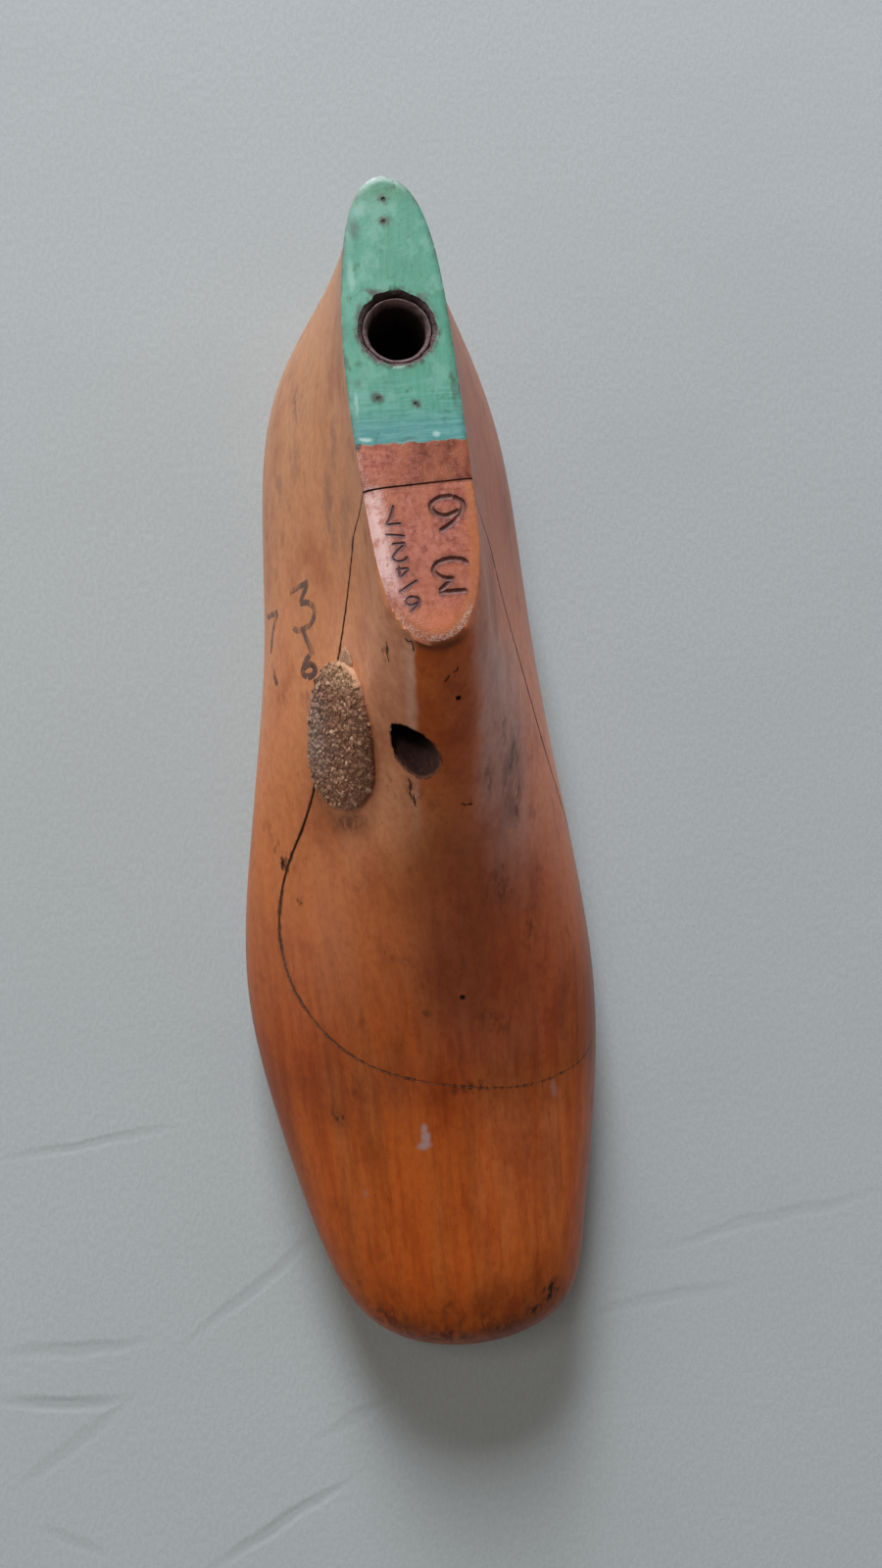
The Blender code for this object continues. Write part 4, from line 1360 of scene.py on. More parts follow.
# Stamping ink soaked into crushed fibres: dull violet-brown
INK_STAMPED = simple(
    "inked_beech",
    "#5E3A3C",
    {"faded": ((1.4, 1.4, 1.4), 4, 0.45, 0.7, 0.8), "crushed": ((0.5, 0.8, 0.5), 4, 0.4, 0.7, 0.6)},
    (("faded", "#7A4C46"), ("crushed", "#33222A")),
    0.6,
    (("crushed", 0.03),),
)
# Animal glue, dried in a thin cracked smear: pale tan and slightly glossy
GLUE = simple(
    "dried_glue",
    "#B98F70",
    {"cloudy": ((1.1, 1.1, 1.1), 3, 0.4, 0.7, 0.7), "specks": ((0.4, 0.4, 0.4), 2, 0.55, 0.7, 0.6)},
    (("cloudy", "#9A6E50"), ("specks", "#6E4A38")),
    0.45,
    (("cloudy", 0.05),),
)
# Drawn steel tube, tarnished brown-violet by damp and oil, brighter where pins rub it, and darkened with
# painted shade further down inside
LINER_STEEL = simple(
    "tarnished_liner_steel",
    "#7A6466",
    {"tarnish": ((1.2, 1.2, 2.4), 5, 0.42, 0.68, 0.85), "rubbed": ((3, 3, 1.2), 3, 0.58, 0.72, 0.5)},
    (("tarnish", "#463532"), ("rubbed", "#7E6A6C"), ("painted_shade_inside", "#1A1110")),
    0.7,
    (("tarnish", 0.02),),
    {"painted_shade_inside": ("z", 73.5, 71.5, 0.85)},
    Metallic=0.2,
)
# Turned mild steel, oiled: grey, satin, with faint rings
PIN_STEEL = simple(
    "turned_pin_steel",
    "#8C8A87",
    {"rings": ((30, 30, 0.3), 2, 0.4, 0.6, 0.5), "spots": ((2, 2, 3), 4, 0.6, 0.7, 0.6)},
    (("rings", "#77746F"), ("spots", "#5A4436")),
    0.32,
    (("rings", 0.006),),
    Metallic=1.0,
)
# Cut iron brads, rusted nearly black and flush with the wood
RUSTED = simple(
    "rusted_brad",
    "#22150F",
    {"scale": ((0.25, 0.25, 0.25), 4, 0.42, 0.7, 0.6)},
    (("scale", "#4A2A1A"),),
    0.7,
    (("scale", 0.02),),
    Metallic=0.3,
)


# Bonded cork: crushed dark bark granules, each its own brown, with paler broken faces between
CORK_GRAIN = {
    "bark": ((0.5, 0.5, 0.5), 4, 0.4, 0.7, 0.7),
    "pale": ((0.5, 0.5, 0.5), 3, 0.6, 0.7, 0.5),
    "dusty": ((5, 7, 5), 3, 0.5, 0.7, 0.4),
}
GRANULE_TONES = ((0.0, "#8A6048"), (0.4, "#A2735A"), (0.75, "#B08468"), (0.95, "#C09A7A"), (1.0, "#D2B090"))
CORK_GLUED = (((-16.2, 93.8, 62), (6.5, 5.0, 16), 10, 1.0),)
CORK_GREYED = (((-24.5, 104.0, 50), (4.5, 13, 16), -8, 0.45),)
CORK_SHAKEN = (1.2, 1.4)


def bonded_cork(name):
    made, tree, surface = new_material(name, Roughness=0.88)
    place = on_last(tree)
    grain = patterns(tree, place, CORK_GRAIN)
    each = add(tree, "ShaderNodeAttribute", out="Fac", attribute_name="grain")
    stops = [(along, linear(tone)) for along, tone in GRANULE_TONES]
    ground = add(tree, "ShaderNodeValToRGB", {"Fac": each}, stops=stops)
    ragged = ragged_place(tree, place, *CORK_SHAKEN)
    glued = soft_patches(tree, ragged, CORK_GLUED)
    greyed = soft_patches(tree, ragged, CORK_GREYED)
    colour = layered(
        tree,
        ground,
        (
            (grain["bark"], "#925F4A"),
            (grain["dusty"], "#96827A"),
            (greyed, "#A89890"),
            (grain["pale"], "#D2AE8E"),
            (glued, "#C49A78"),
        ),
    )
    tree.links.new(colour, surface.inputs["Base Color"])
    tree.links.new(relief(tree, ((grain["bark"], 0.08), (grain["pale"], 0.04))), surface.inputs["Normal"])
    return made


CORK = bonded_cork("bonded_cork")
# Creases in the cloth under the last, dented in the bump and darkened as painted shade: (x, s, z), half
# sizes, turn in degrees, strength
FOLDS = (
    ((-87, 195, 0), (23, 1.7, 9), -5, 0.5),
    ((-51, 233, 0), (24, 2.0, 9), -36, 0.5),
    ((-94, 242, 0), (19, 2.2, 9), 4, 0.6),
    ((-98, 254, 0), (16, 2.2, 9), 7, 0.9),
    ((-49, 290, 0), (22, 1.8, 9), -23, 0.8),
    ((78, 232, 0), (37, 2.0, 9), -7, 0.35),
    ((50, 248, 0), (24, 2.0, 9), -4, 0.35),
    ((-96, 264, 0), (20, 2.3, 9), -30, 0.45),
    ((-98, 287, 0), (10, 2.0, 9), 31, 0.4),
    ((-29, 268, 0), (13, 2.0, 9), -22, 0.35),
)
# Plain cotton laid on the table: a faint weave, drawn coarser than real so that it can be seen; its creases
# and broad soft folds are darkened as painted shade
CLOTH = simple(
    "pale_cotton",
    "#BCC5C6",
    {
        "weave": ((0.8, 1.6, 1), 3, 0.35, 0.65, 0.45),
        "soft_fold_shade": ((70, 45, 1), 2, 0.4, 0.62, 0.2),
        # Broad darker patches: painted shade of soft folds
        "lint": ((0.5, 0.6, 1), 2, 0.7, 0.76, 0.2),
    },
    (
        ("weave", "#AEB6B7"),
        ("soft_fold_shade", "#B2BABB"),
        ("lint", "#D2D6D6"),
        # Painted shade along the creases
        ("marks", "#AEB6B7"),
    ),
    0.92,
    (("weave", 0.05), ("marks", -0.17)),
    marks=FOLDS,
)


# The wooden pieces

shell = turned_last()
surface_tree = BVHTree.FromBMesh(shell)
rim_outline = planed_comb(shell)
rub_comb(shell, rim_outline)
shade(shell)
block_shell = shell.copy()
body = piece("body_wood", shell, WOOD, COMB)
block = piece("block_wood", block_shell, WOOD, COMB)


def on_top(s, x):
    """The place and direction of the last's outer surface over (s, x)."""
    place, normal, _, _ = surface_tree.ray_cast(at(s, x, 120), Vector((0, 0, -1)))
    return place, normal


def on_comb(s, x):
    return at(s, x, comb_height(s)), COMB_NORMAL


def on_flank(s, z):
    """The place and direction of the lateral flank at (s, z)."""
    place, normal, _, _ = surface_tree.ray_cast(at(s, -90, z), Vector((1, 0, 0)))
    return place, normal


# Plain numerals as strokes in a box one high
NUMERALS = {
    "2": (
        ((0.04, 0.78), (0.16, 0.95), (0.4, 0.98), (0.57, 0.8), (0.5, 0.56), (0.05, 0.03)),
        ((0.02, 0.01), (0.62, 0.01)),
    ),
    "3": (
        ((0.03, 0.98), (0.6, 0.98)),
        ((0.27, 0.6), (0.48, 0.54), (0.62, 0.34), (0.55, 0.11), (0.33, 0), (0.1, 0.04), (0, 0.16)),
        ((0.58, 0.97), (0.27, 0.6)),
    ),
    "4": (((0.44, 0), (0.44, 0.98)), ((0, 0.3), (0.62, 0.3)), ((0.42, 0.96), (0.01, 0.31))),
    "6": (
        ((0.5, 0.99), (0.25, 0.76), (0.07, 0.46), (0.04, 0.2), (0.2, 0.01)),
        ((0.2, 0.01), (0.43, 0.02), (0.6, 0.2), (0.56, 0.43), (0.36, 0.55), (0.1, 0.42)),
    ),
    "7": (((0, 0.98), (0.6, 0.98)), ((0.6, 0.98), (0.37, 0.55), (0.24, 0))),
    "-": (((0, 0.5), (0.62, 0.5)),),
}
NUMERAL_WIDTH = 0.62


def written(marks):
    """The strokes of some numerals laid out on a surface."""
    strokes = []
    for sign, centre, size, turn in marks:
        cos, sin = math.cos(math.radians(turn)), math.sin(math.radians(turn))
        for drawn in NUMERALS[sign]:
            stroke = []
            for u, v in drawn:
                across = (u / NUMERAL_WIDTH - 0.5) * size[0]
                up = (v - 0.5) * size[1]
                stroke.append((centre[0] + across * cos - up * sin, centre[1] + across * sin + up * cos))
            strokes.append(stroke)
    return strokes


# Numerals struck into the block's comb: (s, x), width and height, and turn from the line of the
# last; then a column of smaller ones, struck with an inked punch
STRUCK = (
    ("6", (69.0, 5.2), (6.4, 6.6), -90),
    ("3", (80.6, 4.6), (6.2, 6.2), -90),
)
STRUCK_WIDTH = 1.15
STRUCK_DEPTH = 0.42
INKED = (
    ("7", (68.4, -5.0), (3.2, 3.8), -90),
    ("-", (72.3, -5.0), (4.2, 3.0), -100),
    ("2", (75.6, -4.4), (3.0, 3.4), -90),
    ("-", (82.0, -3.5), (4.6, 3.0), -62),
    ("4", (79.2, -4.2), (2.8, 2.6), -90),
    ("6", (85.4, -2.9), (2.6, 2.8), -90),
)
# A wider or deeper stroke would cross itself, and its cut would fail
INKED_WIDTH = 0.62
INKED_DEPTH = 0.2


def carved(name, strokes, width, depth, onto, look):
    """One cutter for each groove, since grooves that cross can't be cut as one."""
    return [groove(f"{name}_{k}", stroke, width, depth, onto, look) for k, stroke in enumerate(strokes)]


# Checks in the wood under the comb's tip and round the hook hole, as runs of (s, x)
CHECKS = (
    ((90.9, -8.15), (91.8, -7.98), (92.9, -8.05), (94.4, -7.8)),
    ((91.3, -4.75), (91.9, -4.3), (92.0, -3.8), (92.7, -3.55), (93.5, -3.5)),
    ((116.0, -5.3), (117.3, -5.05), (118.6, -5.2), (119.8, -4.95)),
    ((119.0, -4.55), (120.4, -4.5), (121.7, -4.3)),
    ((99.2, 2.1), (98.9, 2.5), (98.4, 2.9)),
    ((97.8, 3.7), (97.5, 4.3), (97.0, 4.6)),
    ((121.9, 4.9), (122.2, 6.0), (122.15, 7.4)),
)
CHECK_WIDTH = 0.22
CHECK_DEPTH = 0.16
# Dents and pin holes in the comb's paint: (s, x), width, depth
PITS = (
    ((7.1, -1.0), 1.0, 0.22),
    ((11.6, -1.4), 0.9, 0.18),
    ((46.2, -5.6), 1.0, 0.15),
    ((47.6, 1.2), 0.7, 0.18),
)


HAND_ROUGH = 0.05
PIT_STEPS = 8
PIT_FACETS = 12


def pit(name, place, normal, width, depth, look):
    """A cutter for a small round dent."""
    radius = (width**2 / 4 + depth**2) / (2 * depth)
    angles = [math.pi * k / PIT_STEPS for k in range(PIT_STEPS + 1)]
    profile = [(radius * math.sin(a), -radius * math.cos(a)) for a in angles]
    centre = place + normal * (radius - depth) * MM
    return turned(name, profile, PIT_FACETS, centre, normal, look, rough=HAND_ROUGH)


jack = at(JACK_S, JACK_X, comb_height(JACK_S))
# The jack hole's mouth is flared and broken out unevenly round the liner
LINER_ROOM = 0.12
JACK_LIP = 0.85
JACK_TORN = 0.34
JACK_TORN_SIZE = 2.0
JACK_OVER = 6
liner_hole = THIMBLE_BORE + 2 * THIMBLE_WALL + 2 * LINER_ROOM
jack_depth = THIMBLE_SET_DOWN + THIMBLE_LENGTH + GAP
low = SCOOP_RADIUS - math.sqrt(SCOOP_RADIUS**2 - (PIN_S - SCOOP_LOW_S) ** 2)
pin_foot = at(PIN_S + CUT_SKEW * PIN_X, PIN_X, SCOOP_LOW_Z + low + CUT_DIP * PIN_X)
pin_hole = PIN_DIAMETER + 2 * GAP

# The hook hole's worn and torn mouth: its radius every 24 degrees, clockwise from the medial side
HOOK_MOUTH = (4.3, 4.5, 4.5, 4.6, 4.9, 4.9, 4.6, 4.0, 3.7, 4.1, 4.8, 5.2, 5.2, 4.7, 4.3)
HOOK_MOUTH_PLACE = (110.8, -3.85, 61.25)
HOOK_MOUTH_OUT = (0.9, 0.22, 0.37)
HOOK_ROUND = 4.25
HOOK_TURNS = 90
HOOK_OUT = 16
HOOK_POINT = 2.4
HOOK_TORN = 0.22
HOOK_TORN_SIZE = 1.1


def hook_hole(look):
    """A cutter for the hook hole: drilled at a slant, its mouth torn where the drill broke through."""
    outward = toward(*HOOK_MOUTH_OUT)
    side = Vector((0, 0, 1)).cross(outward).normalized()
    lower = side.cross(outward)
    centre = at(*HOOK_MOUTH_PLACE)
    columns = []
    for k in range(HOOK_TURNS):
        angle = 2 * math.pi * k / HOOK_TURNS
        turn = angle / (2 * math.pi) * len(HOOK_MOUTH)
        first = int(turn) % len(HOOK_MOUTH)
        blend = (1 - math.cos(math.pi * (turn % 1))) / 2
        mouth = HOOK_MOUTH[first] * (1 - blend) + HOOK_MOUTH[(first + 1) % len(HOOK_MOUTH)] * blend
        out = side * math.cos(angle) + lower * math.sin(angle)
        start = centre + (out * mouth + outward * HOOK_OUT) * MM
        hit = surface_tree.ray_cast(start, -outward)[0]
        edge = (hit - centre).dot(outward) / MM if hit else 0
        column = []
        steps = [(HOOK_OUT, mouth), (edge + 0.5, mouth)]
        steps += [(edge - 0.4, mouth * 0.98), (edge - 1.1, mouth * 0.95)]
        steps += [(edge - 1.7, HOOK_ROUND), (min(edge - 2.4, -4.5), HOOK_ROUND)]
        steps += [(-HOOK_DEPTH + rise, HOOK_ROUND) for rise in (6, 3, 0)]
        depth = math.inf
        for along, radius in steps:
            depth = min(along, depth - 0.2)
            place = centre + (out * radius + outward * depth) * MM
            torn = crumbled(place / (HOOK_TORN_SIZE * MM)) * (HOOK_TORN if along < HOOK_OUT else 0)
            column.append(place + out * torn * MM)
        columns.append(column)
    bm = bmesh.new()
    rings = [[bm.verts.new(column[j]) for column in columns] for j in range(len(columns[0]))]
    for upper, below in zip(rings, rings[1:]):
        for k in range(HOOK_TURNS):
            after = (k + 1) % HOOK_TURNS
            bm.faces.new((upper[k], below[k], below[after], upper[after]))
    tip = bm.verts.new(centre - outward * (HOOK_DEPTH + HOOK_POINT) * MM)
    top = bm.verts.new(centre + outward * HOOK_OUT * MM)
    for k in range(HOOK_TURNS):
        after = (k + 1) % HOOK_TURNS
        bm.faces.new((rings[-1][k], tip, rings[-1][after]))
        bm.faces.new((rings[0][after], top, rings[0][k]))
    bmesh.ops.recalc_face_normals(bm, faces=bm.faces)
    return piece("hook_hole", bm, look)


saw_cut = above_saw_cut("saw_cut", 0, 0, SAWN)
jack_hole = drill(
    "jack_hole",
    liner_hole,
    jack_depth,
    JACK_OVER,
    jack,
    COMB_NORMAL,
    BORED,
    lip=JACK_LIP,
    rough=JACK_TORN,
    rough_size=JACK_TORN_SIZE,
)
pin_socket = drill("pin_socket", pin_hole, PIN_IN_BODY + GAP, PIN_DIAMETER, pin_foot, LIFT, BORED)
pits = [pit(f"pit_{k}", *on_comb(*spot), width, depth, DENTED) for k, (spot, width, depth) in enumerate(PITS)]
cut(body, saw_cut, jack_hole, pin_socket, *pits)
# The wood has closed a little over each sunk brad
BRAD_ROOM = 0.08
BRAD_MOUTH = 0.5
BRAD_FACETS = 24
brad_holes = []
for name, (s, x) in BRADS.items():
    depth = BRAD_SET_DOWN + BRAD_LENGTH + GAP
    wide = BRAD_DIAMETER / 2 + BRAD_ROOM
    mouth = ((BRAD_MOUTH, -0.08), (BRAD_MOUTH + 0.1, 2), (0, 2))
    profile = ((0, -depth), (wide, -depth), (wide, -BRAD_SET_DOWN), *mouth)
    hole = turned(name + "_hole", profile, BRAD_FACETS, *on_top(s, x), GRIME, rough=HAND_ROUGH)
    brad_holes.append(hole)
# Pressed shut, the block shows a thinner line than the kerf, and thinnest on the medial side
SEEN_KERF = 0.36
SEEN_KERF_FORWARD = KERF_FORWARD * 0.8
KERF_TAPER = 0.003
block_side = above_saw_cut("block_side", SEEN_KERF_FORWARD, SEEN_KERF, SAWN, CUT_DIP - KERF_TAPER)
pin_entry = drill("pin_entry", pin_hole, PIN_IN_BLOCK + GAP, PIN_DIAMETER, pin_foot, -LIFT, BORED)
cut(block, block_side, keep="inside")
cut(
    block,
    pin_entry,
    hook_hole(TORN),
    *brad_holes,
    *carved("struck", written(STRUCK), STRUCK_WIDTH, STRUCK_DEPTH, on_comb, STAMPED),
    *carved("inked", written(INKED), INKED_WIDTH, INKED_DEPTH, on_comb, INK_STAMPED),
    *carved("check", CHECKS, CHECK_WIDTH, CHECK_DEPTH, on_top, GRIME),
)
OUTER_LOOKS = 2
FARTHEST = 10


def note_distances(item):
    """Stores on each point how far it is from the comb's rim and from the nearest cut, in millimetres."""
    mesh = item.data
    cuts = set()
    looks = {}
    for face in mesh.polygons:
        outer = face.material_index < OUTER_LOOKS
        for key in face.edge_keys:
            if looks.setdefault(key, outer) != outer:
                cuts.update(key)
    for name, places in (("rim", rim_outline), ("seam", [mesh.vertices[k].co for k in cuts])):
        tree = KDTree(len(places))
        for k, place in enumerate(places):
            tree.insert(place, k)
        tree.balance()
        layer = mesh.attributes.new(name, "FLOAT", "POINT")
        away = [min(FARTHEST, tree.find(vert.co)[2] / MM) for vert in mesh.vertices]
        layer.data.foreach_set("value", away)


for item in (body, block):
    note_distances(item)
    shade_again(item)
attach(body, "last")
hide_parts("last_body")
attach(block, "block")
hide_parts("scoop_block")


# Metal fittings

bore = THIMBLE_BORE / 2
outer = THIMBLE_BORE / 2 + THIMBLE_WALL
top = -THIMBLE_SET_DOWN
foot = -THIMBLE_SET_DOWN - THIMBLE_LENGTH
liner_profile = (
    (bore, foot),
    (bore, top - 6),
    (bore, top - 1.6),
    (bore + 0.12, top - 0.7),
    (bore + 0.42, top - 0.16),
    (bore + 0.7, top),
    (outer - 0.15, top - 0.06),
    (outer, top - 0.3),
    (outer, top - 6),
    (outer, foot),
)
liner = turned("jack_liner", liner_profile, 96, jack, COMB_NORMAL, LINER_STEEL, rough=0.06, rough_size=2.0)
side = PIN_DIAMETER / 2
pin_profile = (
    (0, -PIN_IN_BODY),
    (side - 0.6, -PIN_IN_BODY),
    (side, -PIN_IN_BODY + 0.6),
    (side, -0.8),
    (side - 0.25, -0.55),
    (side - 0.25, -0.25),
    (side, 0),
    (side, PIN_IN_BLOCK - 2.2),
    (side - 0.25, PIN_IN_BLOCK - 1.0),
    (side - PIN_ROUND, PIN_IN_BLOCK - 0.25),
    (side - 1.5, PIN_IN_BLOCK),
    (0, PIN_IN_BLOCK),
)
pin = turned("locating_pin", pin_profile, 64, pin_foot, LIFT, PIN_STEEL)
brads = []
for name, (s, x) in BRADS.items():
    side = BRAD_DIAMETER / 2
    foot = -BRAD_SET_DOWN - BRAD_LENGTH
    brad_profile = (
        (0, foot),
        (side * 0.4, foot + 0.8),
        (side, foot + 2.2),
        (side, -BRAD_SET_DOWN - 0.7),
        (side, -BRAD_SET_DOWN - 0.3),
        (side * 0.8, -BRAD_SET_DOWN - 0.12),
        (side * 0.45, -BRAD_SET_DOWN - 0.2),
        (0, -BRAD_SET_DOWN - 0.26),
    )
    short = name.replace("ridge_", "")
    brads.append(turned(short, brad_profile, BRAD_FACETS, *on_top(s, x), RUSTED, rough=HAND_ROUGH))
for item, body_name, node, slot in (
    (liner, "last", "jack_hole_thimble", "liner_steel"),
    (pin, "last", "block_pin", "pin_steel"),
    (brads[0], "block", "ridge_brad_upper", "brad_steel"),
    (brads[1], "block", "ridge_brad_lower", "brad_steel"),
):
    shade_again(item)
    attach(item, body_name)
    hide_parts(node)


# The cork patch and its glue


def draped(name, spot, size, turn, power, height, rings, facets, ragged, *looks):
    """A crowned pad draped over the last; height gives its top from the share of the way out."""
    centre, normal = on_top(*spot)
    level_along = toward(1, 0, 0)
    level_along = (level_along - normal * level_along.dot(normal)).normalized()
    angle = math.radians(turn)
    along = level_along * math.cos(angle) + level_along.cross(normal) * math.sin(angle)
    across = normal.cross(along)
    away = normal * size[1] * MM

    def on_surface(a, b):
        start = centre + (along * a + across * b) * MM + away
        return surface_tree.ray_cast(start, -normal)[0]

    def lifted(a, b, rise):
        reach = 1.2
        run = on_surface(a + reach, b) - on_surface(a - reach, b)
        climb = on_surface(a, b + reach) - on_surface(a, b - reach)
        return on_surface(a, b) + run.cross(climb).normalized() * rise * MM

    bm = bmesh.new()
    top_layer = bm.verts.layers.float.new("top")
    layers = []
    for upper in (False, True):
        grown = []
        for ring in range(rings + 1):
            reach = math.sin(ring / rings * math.pi / 2)
            points = []
            for k in range(facets if ring else 1):
                angle = 2 * math.pi * k / facets
                a = math.copysign(abs(math.cos(angle)) ** (2 / power), math.cos(angle))
                b = math.copysign(abs(math.sin(angle)) ** (2 / power), math.sin(angle))
                torn = crumbled(Vector((a * 4, b * 4, size[0])), 0.9) * ragged
                a *= reach * (size[0] / 2 + torn)
                b *= reach * (size[1] / 2 + torn)
                rise = height(reach, a, b) if upper else BED
                points.append(bm.verts.new(lifted(a, b, rise)))
                points[-1][top_layer] = 1.0 if upper else 0.0
            grown.append(points)
        layers.append(grown)

    def join(first, second):
        for k in range(facets):
            after = (k + 1) % facets
            if len(first) == 1:
                bm.faces.new((first[0], second[k], second[after]))
            else:
                bm.faces.new((first[k], second[k], second[after], first[after]))

    for grown in layers:
        for inner, outer in zip(grown, grown[1:]):
            join(inner, outer)
    join(layers[0][-1], layers[1][-1])
    bmesh.ops.recalc_face_normals(bm, faces=bm.faces)
    shade(bm, 60)
    return piece(name, bm, *looks)


# How deep a pad's underside sits, and the size and height of the cork's coarse grains
BED = 0.06
GRAIN_SIZE = 1.3
GRAIN_HEIGHT = 0.34


def cork_top(reach, a, b):
    """The cork's crown, broken up into grains."""
    crown = PATCH_EDGE + (PATCH_THICKNESS - PATCH_EDGE) * math.sqrt(max(0, 1 - reach**4))
    near = noise.voronoi(Vector((a, b, 0)) / GRAIN_SIZE)[0][0]
    return GAP + crown - GRAIN_HEIGHT * min(1, near * 1.2) * (0.4 + 0.6 * (reach < 0.97))


def glue_top(reach, a, b):
    lump = noise.noise(Vector((a, b, 3)) / 1.4)
    return BED + 0.5 * math.sqrt(max(0, 1 - reach**2)) + 0.18 * lump * (1 - reach)


cork = draped(
    "cork_pad",
    (PATCH_S, PATCH_X),
    (PATCH_LENGTH, PATCH_WIDTH),
    PATCH_TURN,
    PATCH_POWER,
    cork_top,
    26,
    132,
    0.3,
    CORK,
)


GRANULES_PER_AREA = 4.0e6
SMALLEST_GRANULE = 0.55
LARGEST_GRANULE = 1.45
CRUSHED_SCALE = 1300.0


def granulate(item, amount, look, **sizes):
    """Bonds crushed cork to a pad: grains of many sizes, pressed in at random, each its own shade."""
    tree = bpy.data.node_groups.new("bonded_cork", "GeometryNodeTree")
    tree.interface.new_socket("Pad", in_out="INPUT", socket_type="NodeSocketGeometry")
    sockets = {}
    for name, value in sizes.items():
        kind = "NodeSocketInt" if isinstance(value, int) else "NodeSocketFloat"
        sockets[name] = tree.interface.new_socket(name, in_out="INPUT", socket_type=kind)
        sockets[name].default_value = value
    tree.interface.new_socket("Cork", in_out="OUTPUT", socket_type="NodeSocketGeometry")
    source = tree.nodes.new("NodeGroupInput")
    pad = source.outputs["Pad"]
    given = {name: source.outputs[name] for name in sizes}
    top = add(tree, "GeometryNodeInputNamedAttribute", {"Name": "top"}, 0, data_type="FLOAT")
    upper = add(tree, "FunctionNodeCompare", {0: top, 1: 0.5}, 0, data_type="FLOAT", operation="GREATER_THAN")
    scattered = tree.nodes.new("GeometryNodeDistributePointsOnFaces")
    scattered.distribute_method = "POISSON"
    for socket, value in (
        ("Mesh", pad),
        ("Selection", upper),
        ("Distance Min", given["spacing"]),
        ("Seed", given["seed"]),
    ):
        tree.links.new(value, scattered.inputs[socket])
    scattered.inputs["Density Max"].default_value = amount
    shade_value = add(tree, "FunctionNodeRandomValue", {"Seed": given["seed"]}, 1, data_type="FLOAT")
    toned = add(
        tree,
        "GeometryNodeStoreNamedAttribute",
        {"Geometry": scattered.outputs["Points"], "Name": "grain", "Value": shade_value},
        data_type="FLOAT",
        domain="POINT",
    )
    grain = add(tree, "GeometryNodeMeshIcoSphere", {"Radius": 0.5, "Subdivisions": 1})
    smallest = add(tree, "ShaderNodeMath", {0: given["size"], 1: SMALLEST_GRANULE}, operation="MULTIPLY")
    largest = add(tree, "ShaderNodeMath", {0: given["size"], 1: LARGEST_GRANULE}, operation="MULTIPLY")
    width = add(tree, "FunctionNodeRandomValue", {2: smallest, 3: largest, "Seed": 3}, 1, data_type="FLOAT")
    squash = add(tree, "ShaderNodeMath", {0: width, 1: given["flatness"]}, operation="MULTIPLY")
    size = add(tree, "ShaderNodeCombineXYZ", {"X": width, "Y": width, "Z": squash})
    turns = {0: (-0.5, -0.5, 0), 1: (0.5, 0.5, 2 * math.pi), "Seed": 5}
    spun = add(tree, "FunctionNodeRandomValue", turns, 0, data_type="FLOAT_VECTOR")
    turned_by = add(
        tree,
        "FunctionNodeRotateRotation",
        {"Rotation": scattered.outputs["Rotation"], "Rotate By": spun},
        rotation_space="LOCAL",
    )
    laid = add(
        tree,
        "GeometryNodeInstanceOnPoints",
        {"Points": toned, "Instance": grain, "Rotation": turned_by, "Scale": size},
    )
    real = add(tree, "GeometryNodeRealizeInstances", {"Geometry": laid})
    rough = add(tree, "ShaderNodeTexNoise", {"Scale": CRUSHED_SCALE, "Detail": 2.0}, "Color")
    centred = add(tree, "ShaderNodeVectorMath", {0: rough, 1: (0.5, 0.5, 0.5)}, operation="SUBTRACT")
    shaken = add(tree, "ShaderNodeVectorMath", {0: centred, "Scale": given["roughness"]}, operation="SCALE")
    crushed = add(tree, "GeometryNodeSetPosition", {"Geometry": real, "Offset": shaken})
    joined = tree.nodes.new("GeometryNodeJoinGeometry")
    tree.links.new(crushed, joined.inputs[0])
    tree.links.new(pad, joined.inputs[0])
    finished = add(tree, "GeometryNodeRealizeInstances", {"Geometry": joined.outputs[0]})
    finished = add(tree, "GeometryNodeSetMaterial", {"Geometry": finished, "Material": look})
    tree.links.new(finished, tree.nodes.new("NodeGroupOutput").inputs["Cork"])
    step = item.modifiers.new("granules", "NODES")
    step.node_group = tree
    for name, value in sizes.items():
        step[sockets[name].identifier] = value
    settle(item)


granulate(
    cork,
    GRANULES_PER_AREA,
    CORK,
    spacing=0.6 * MM,
    size=1.1 * MM,
    flatness=0.3,
    roughness=0.3 * MM,
    seed=SEED,
)
glue = draped("dried_glue", (92.2, -15.6), (6.4, 4.2), 10, 2.0, glue_top, 8, 48, 0.6, GLUE)
for item in (cork, glue):
    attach(item, "block")
    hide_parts("cork_patch")


# Ink on the lateral flank

# Plain numerals written by hand: (s, z), width and height, and turn
HAND_INKED = (
    ("3", (78.2, 46.8), (7.6, 9.0), 94),
    ("-", (85.6, 47.4), (6.4, 3.0), 20),
    ("6", (90.4, 46.6), (3.8, 4.6), 90),
    ("7", (81.0, 33.6), (7.4, 8.6), 88),
    ("-", (90.0, 34.6), (6.0, 3.0), 24),
)
INK_WIDTH = 1.0
INK_FADE = 0.6
INK_RISE = 0.035
INK_KEEL = 4
INK_STEP = 0.35


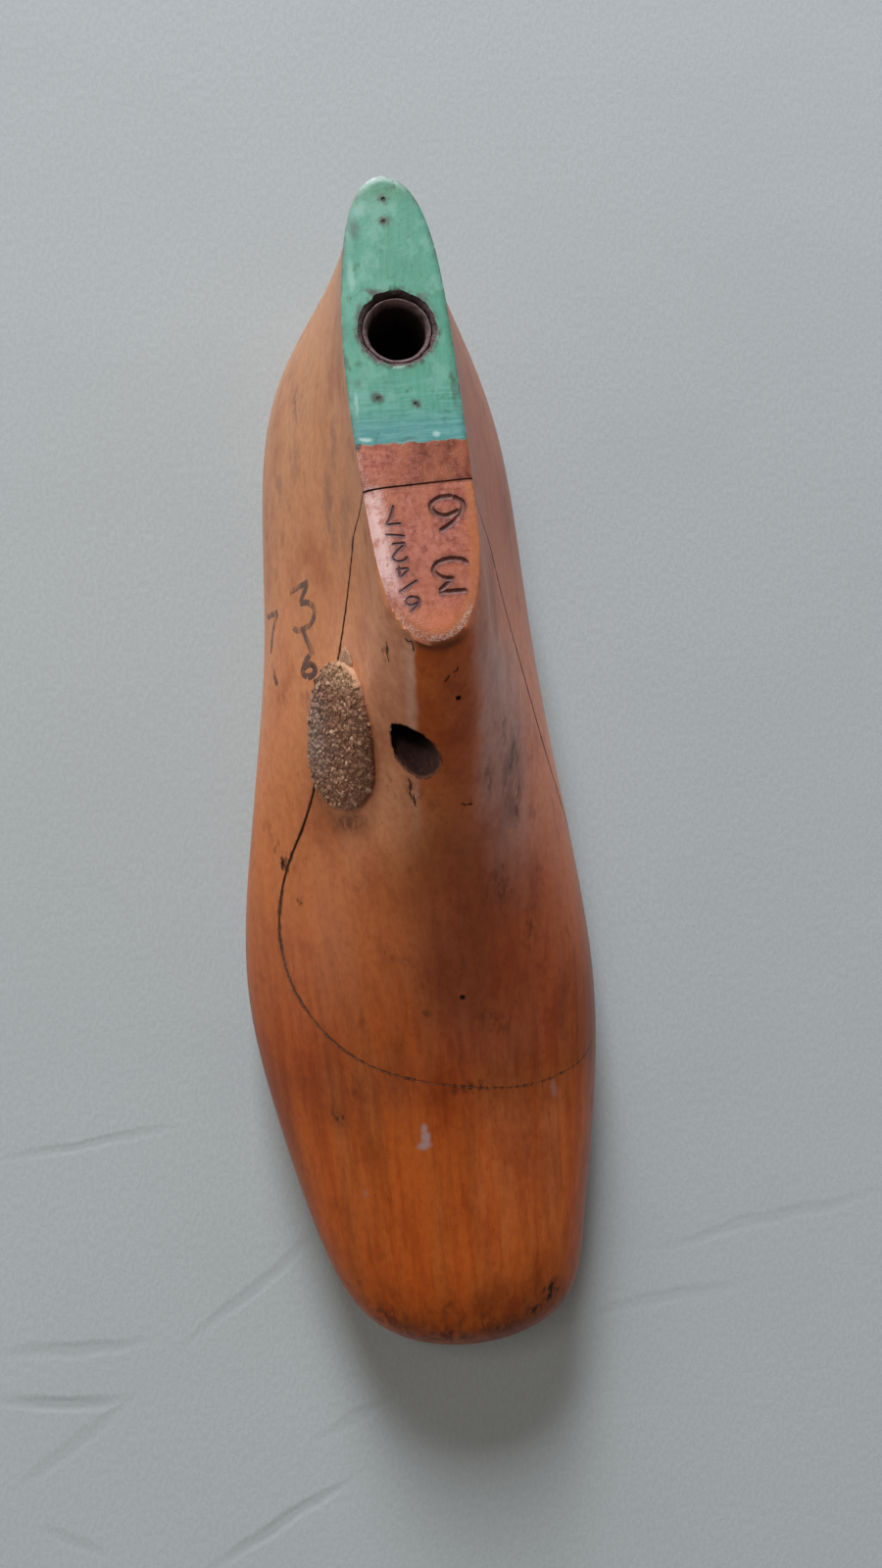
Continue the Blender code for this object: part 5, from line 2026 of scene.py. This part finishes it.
def inked_ribbons(name, marks, look):
    """Ink as thin closed ribbons that dip into the wood at their edges, where they fade out."""
    bm = bmesh.new()
    ink = bm.verts.layers.float.new("ink")
    for stroke in written(marks):
        path = even_path(stroke, INK_STEP)
        rows = []
        last = len(path) - 1
        for k, point in enumerate(path):
            ahead = (path[min(k + 1, last)] - path[max(k - 1, 0)]).normalized()
            side = Vector((-ahead.y, ahead.x))
            half = INK_WIDTH / 2 * (0.75 + 0.35 * noise.noise(Vector((point.x, point.y, 0)) / 2))
            end = min(1, min(k, last - k) / 2)
            row = []
            for across, full in ((-half - INK_FADE, 0), (-half, end), (half, end), (half + INK_FADE, 0)):
                place, normal = on_flank(*(point + side * across))
                rise = INK_RISE if full else -INK_RISE
                row.append((place + normal * rise * MM, full))
            for across in (half + INK_FADE, -half - INK_FADE):
                place, normal = on_flank(*(point + side * across))
                row.append((place - normal * INK_KEEL * INK_RISE * MM, 0))
            ring = []
            for place, full in row:
                ring.append(bm.verts.new(place))
                ring[-1][ink] = full
            rows.append(ring)
        for first, second in zip(rows, rows[1:]):
            for j in range(len(first)):
                after = (j + 1) % len(first)
                bm.faces.new((first[j], second[j], second[after], first[after]))
        bm.faces.new(rows[0])
        bm.faces.new(rows[-1][::-1])
    bmesh.ops.recalc_face_normals(bm, faces=bm.faces)
    shade(bm, 60)
    return piece(name, bm, look)


flank_ink = inked_ribbons("flank_numerals", HAND_INKED, INKED_WOOD)
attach(flank_ink, "last")


# Camera, light and floor

# The eye in millimetres, straight above the last, and its turns in degrees: about the line of
# sight, towards the heel and towards the inner side
EYE = (-14.35, -3.05, 291.2)
ROLL = -5.16
PITCH = 2.11
TILT = 4.62
FOCAL_PIXELS = 1200
FRAME_HEIGHT = 1600
SENSOR = 36.0


def camera():
    roll, pitch, tilt = (math.radians(a) for a in (ROLL, PITCH, TILT))
    right = Vector((math.cos(roll), math.sin(roll), 0))
    level_up = Vector((-math.sin(roll), math.cos(roll), 0))
    down = Vector((0, 0, -1))
    forward = math.cos(pitch) * down + math.sin(pitch) * level_up
    up = math.cos(pitch) * level_up - math.sin(pitch) * down
    forward, right = (
        math.cos(tilt) * forward + math.sin(tilt) * right,
        math.cos(tilt) * right - math.sin(tilt) * forward,
    )
    data = bpy.data.cameras.new("camera")
    data.sensor_width = SENSOR
    data.lens = SENSOR * FOCAL_PIXELS / FRAME_HEIGHT
    data.clip_start = 0.01
    data.clip_end = 20
    item = bpy.data.objects.new("camera", data)
    turn = Matrix((right, up, -forward)).transposed().to_4x4()
    item.matrix_world = Matrix.Translation(Vector(EYE) * MM) @ turn
    bpy.context.scene.collection.objects.link(item)
    bpy.context.scene.camera = item


def area_light(name, place, target, size, power, colour):
    data = bpy.data.lights.new(name, "AREA")
    data.shape = "RECTANGLE"
    data.size, data.size_y = size
    data.energy = power
    data.color = linear(colour)[:3]
    item = bpy.data.objects.new(name, data)
    item.location = place
    item.rotation_euler = (Vector(target) - Vector(place)).to_track_quat("-Z", "Y").to_euler()
    bpy.context.scene.collection.objects.link(item)


# Lights: place and size in metres, power in watts, colour. A low window beyond the heel, a skylight
# a little to the left that the worn rim of the comb mirrors, and faint pale walls on both sides.
LIGHTS = {
    "low_window": ((-0.18, 2.43, 1.26), (0.81, 1.08), 88, "#F7F9FF"),
    "skylight": ((-0.27, 0.45, 1.12), (0.16, 0.3), 1.6, "#FFFFFF"),
    "cool_wall": ((1.2, 0.45, 0.55), (1.0, 0.8), 1.6, "#D8E4FF"),
    "warm_wall": ((-1.3, 0.1, 0.55), (1.2, 0.8), 2.3, "#FBF7F2"),
}


LIT = (0, 0, 0.02)
ROOM_COLOUR = "#FFE6D0"
ROOM_STRENGTH = 0.124
FLOOR_HALF = 3


def studio():
    world = bpy.data.worlds.new("soft_room")
    bpy.context.scene.world = world
    world.use_nodes = True
    background = world.node_tree.nodes["Background"]
    background.inputs["Color"].default_value = linear(ROOM_COLOUR)
    background.inputs["Strength"].default_value = ROOM_STRENGTH
    for name, (place, size, power, colour) in LIGHTS.items():
        area_light(name, place, LIT, size, power, colour)
    bpy.context.scene.view_settings.view_transform = "Standard"


def floor():
    bm = bmesh.new()
    bmesh.ops.create_grid(bm, x_segments=1, y_segments=1, size=FLOOR_HALF)
    item = piece("floor", bm, CLOTH)


camera()
studio()
floor()
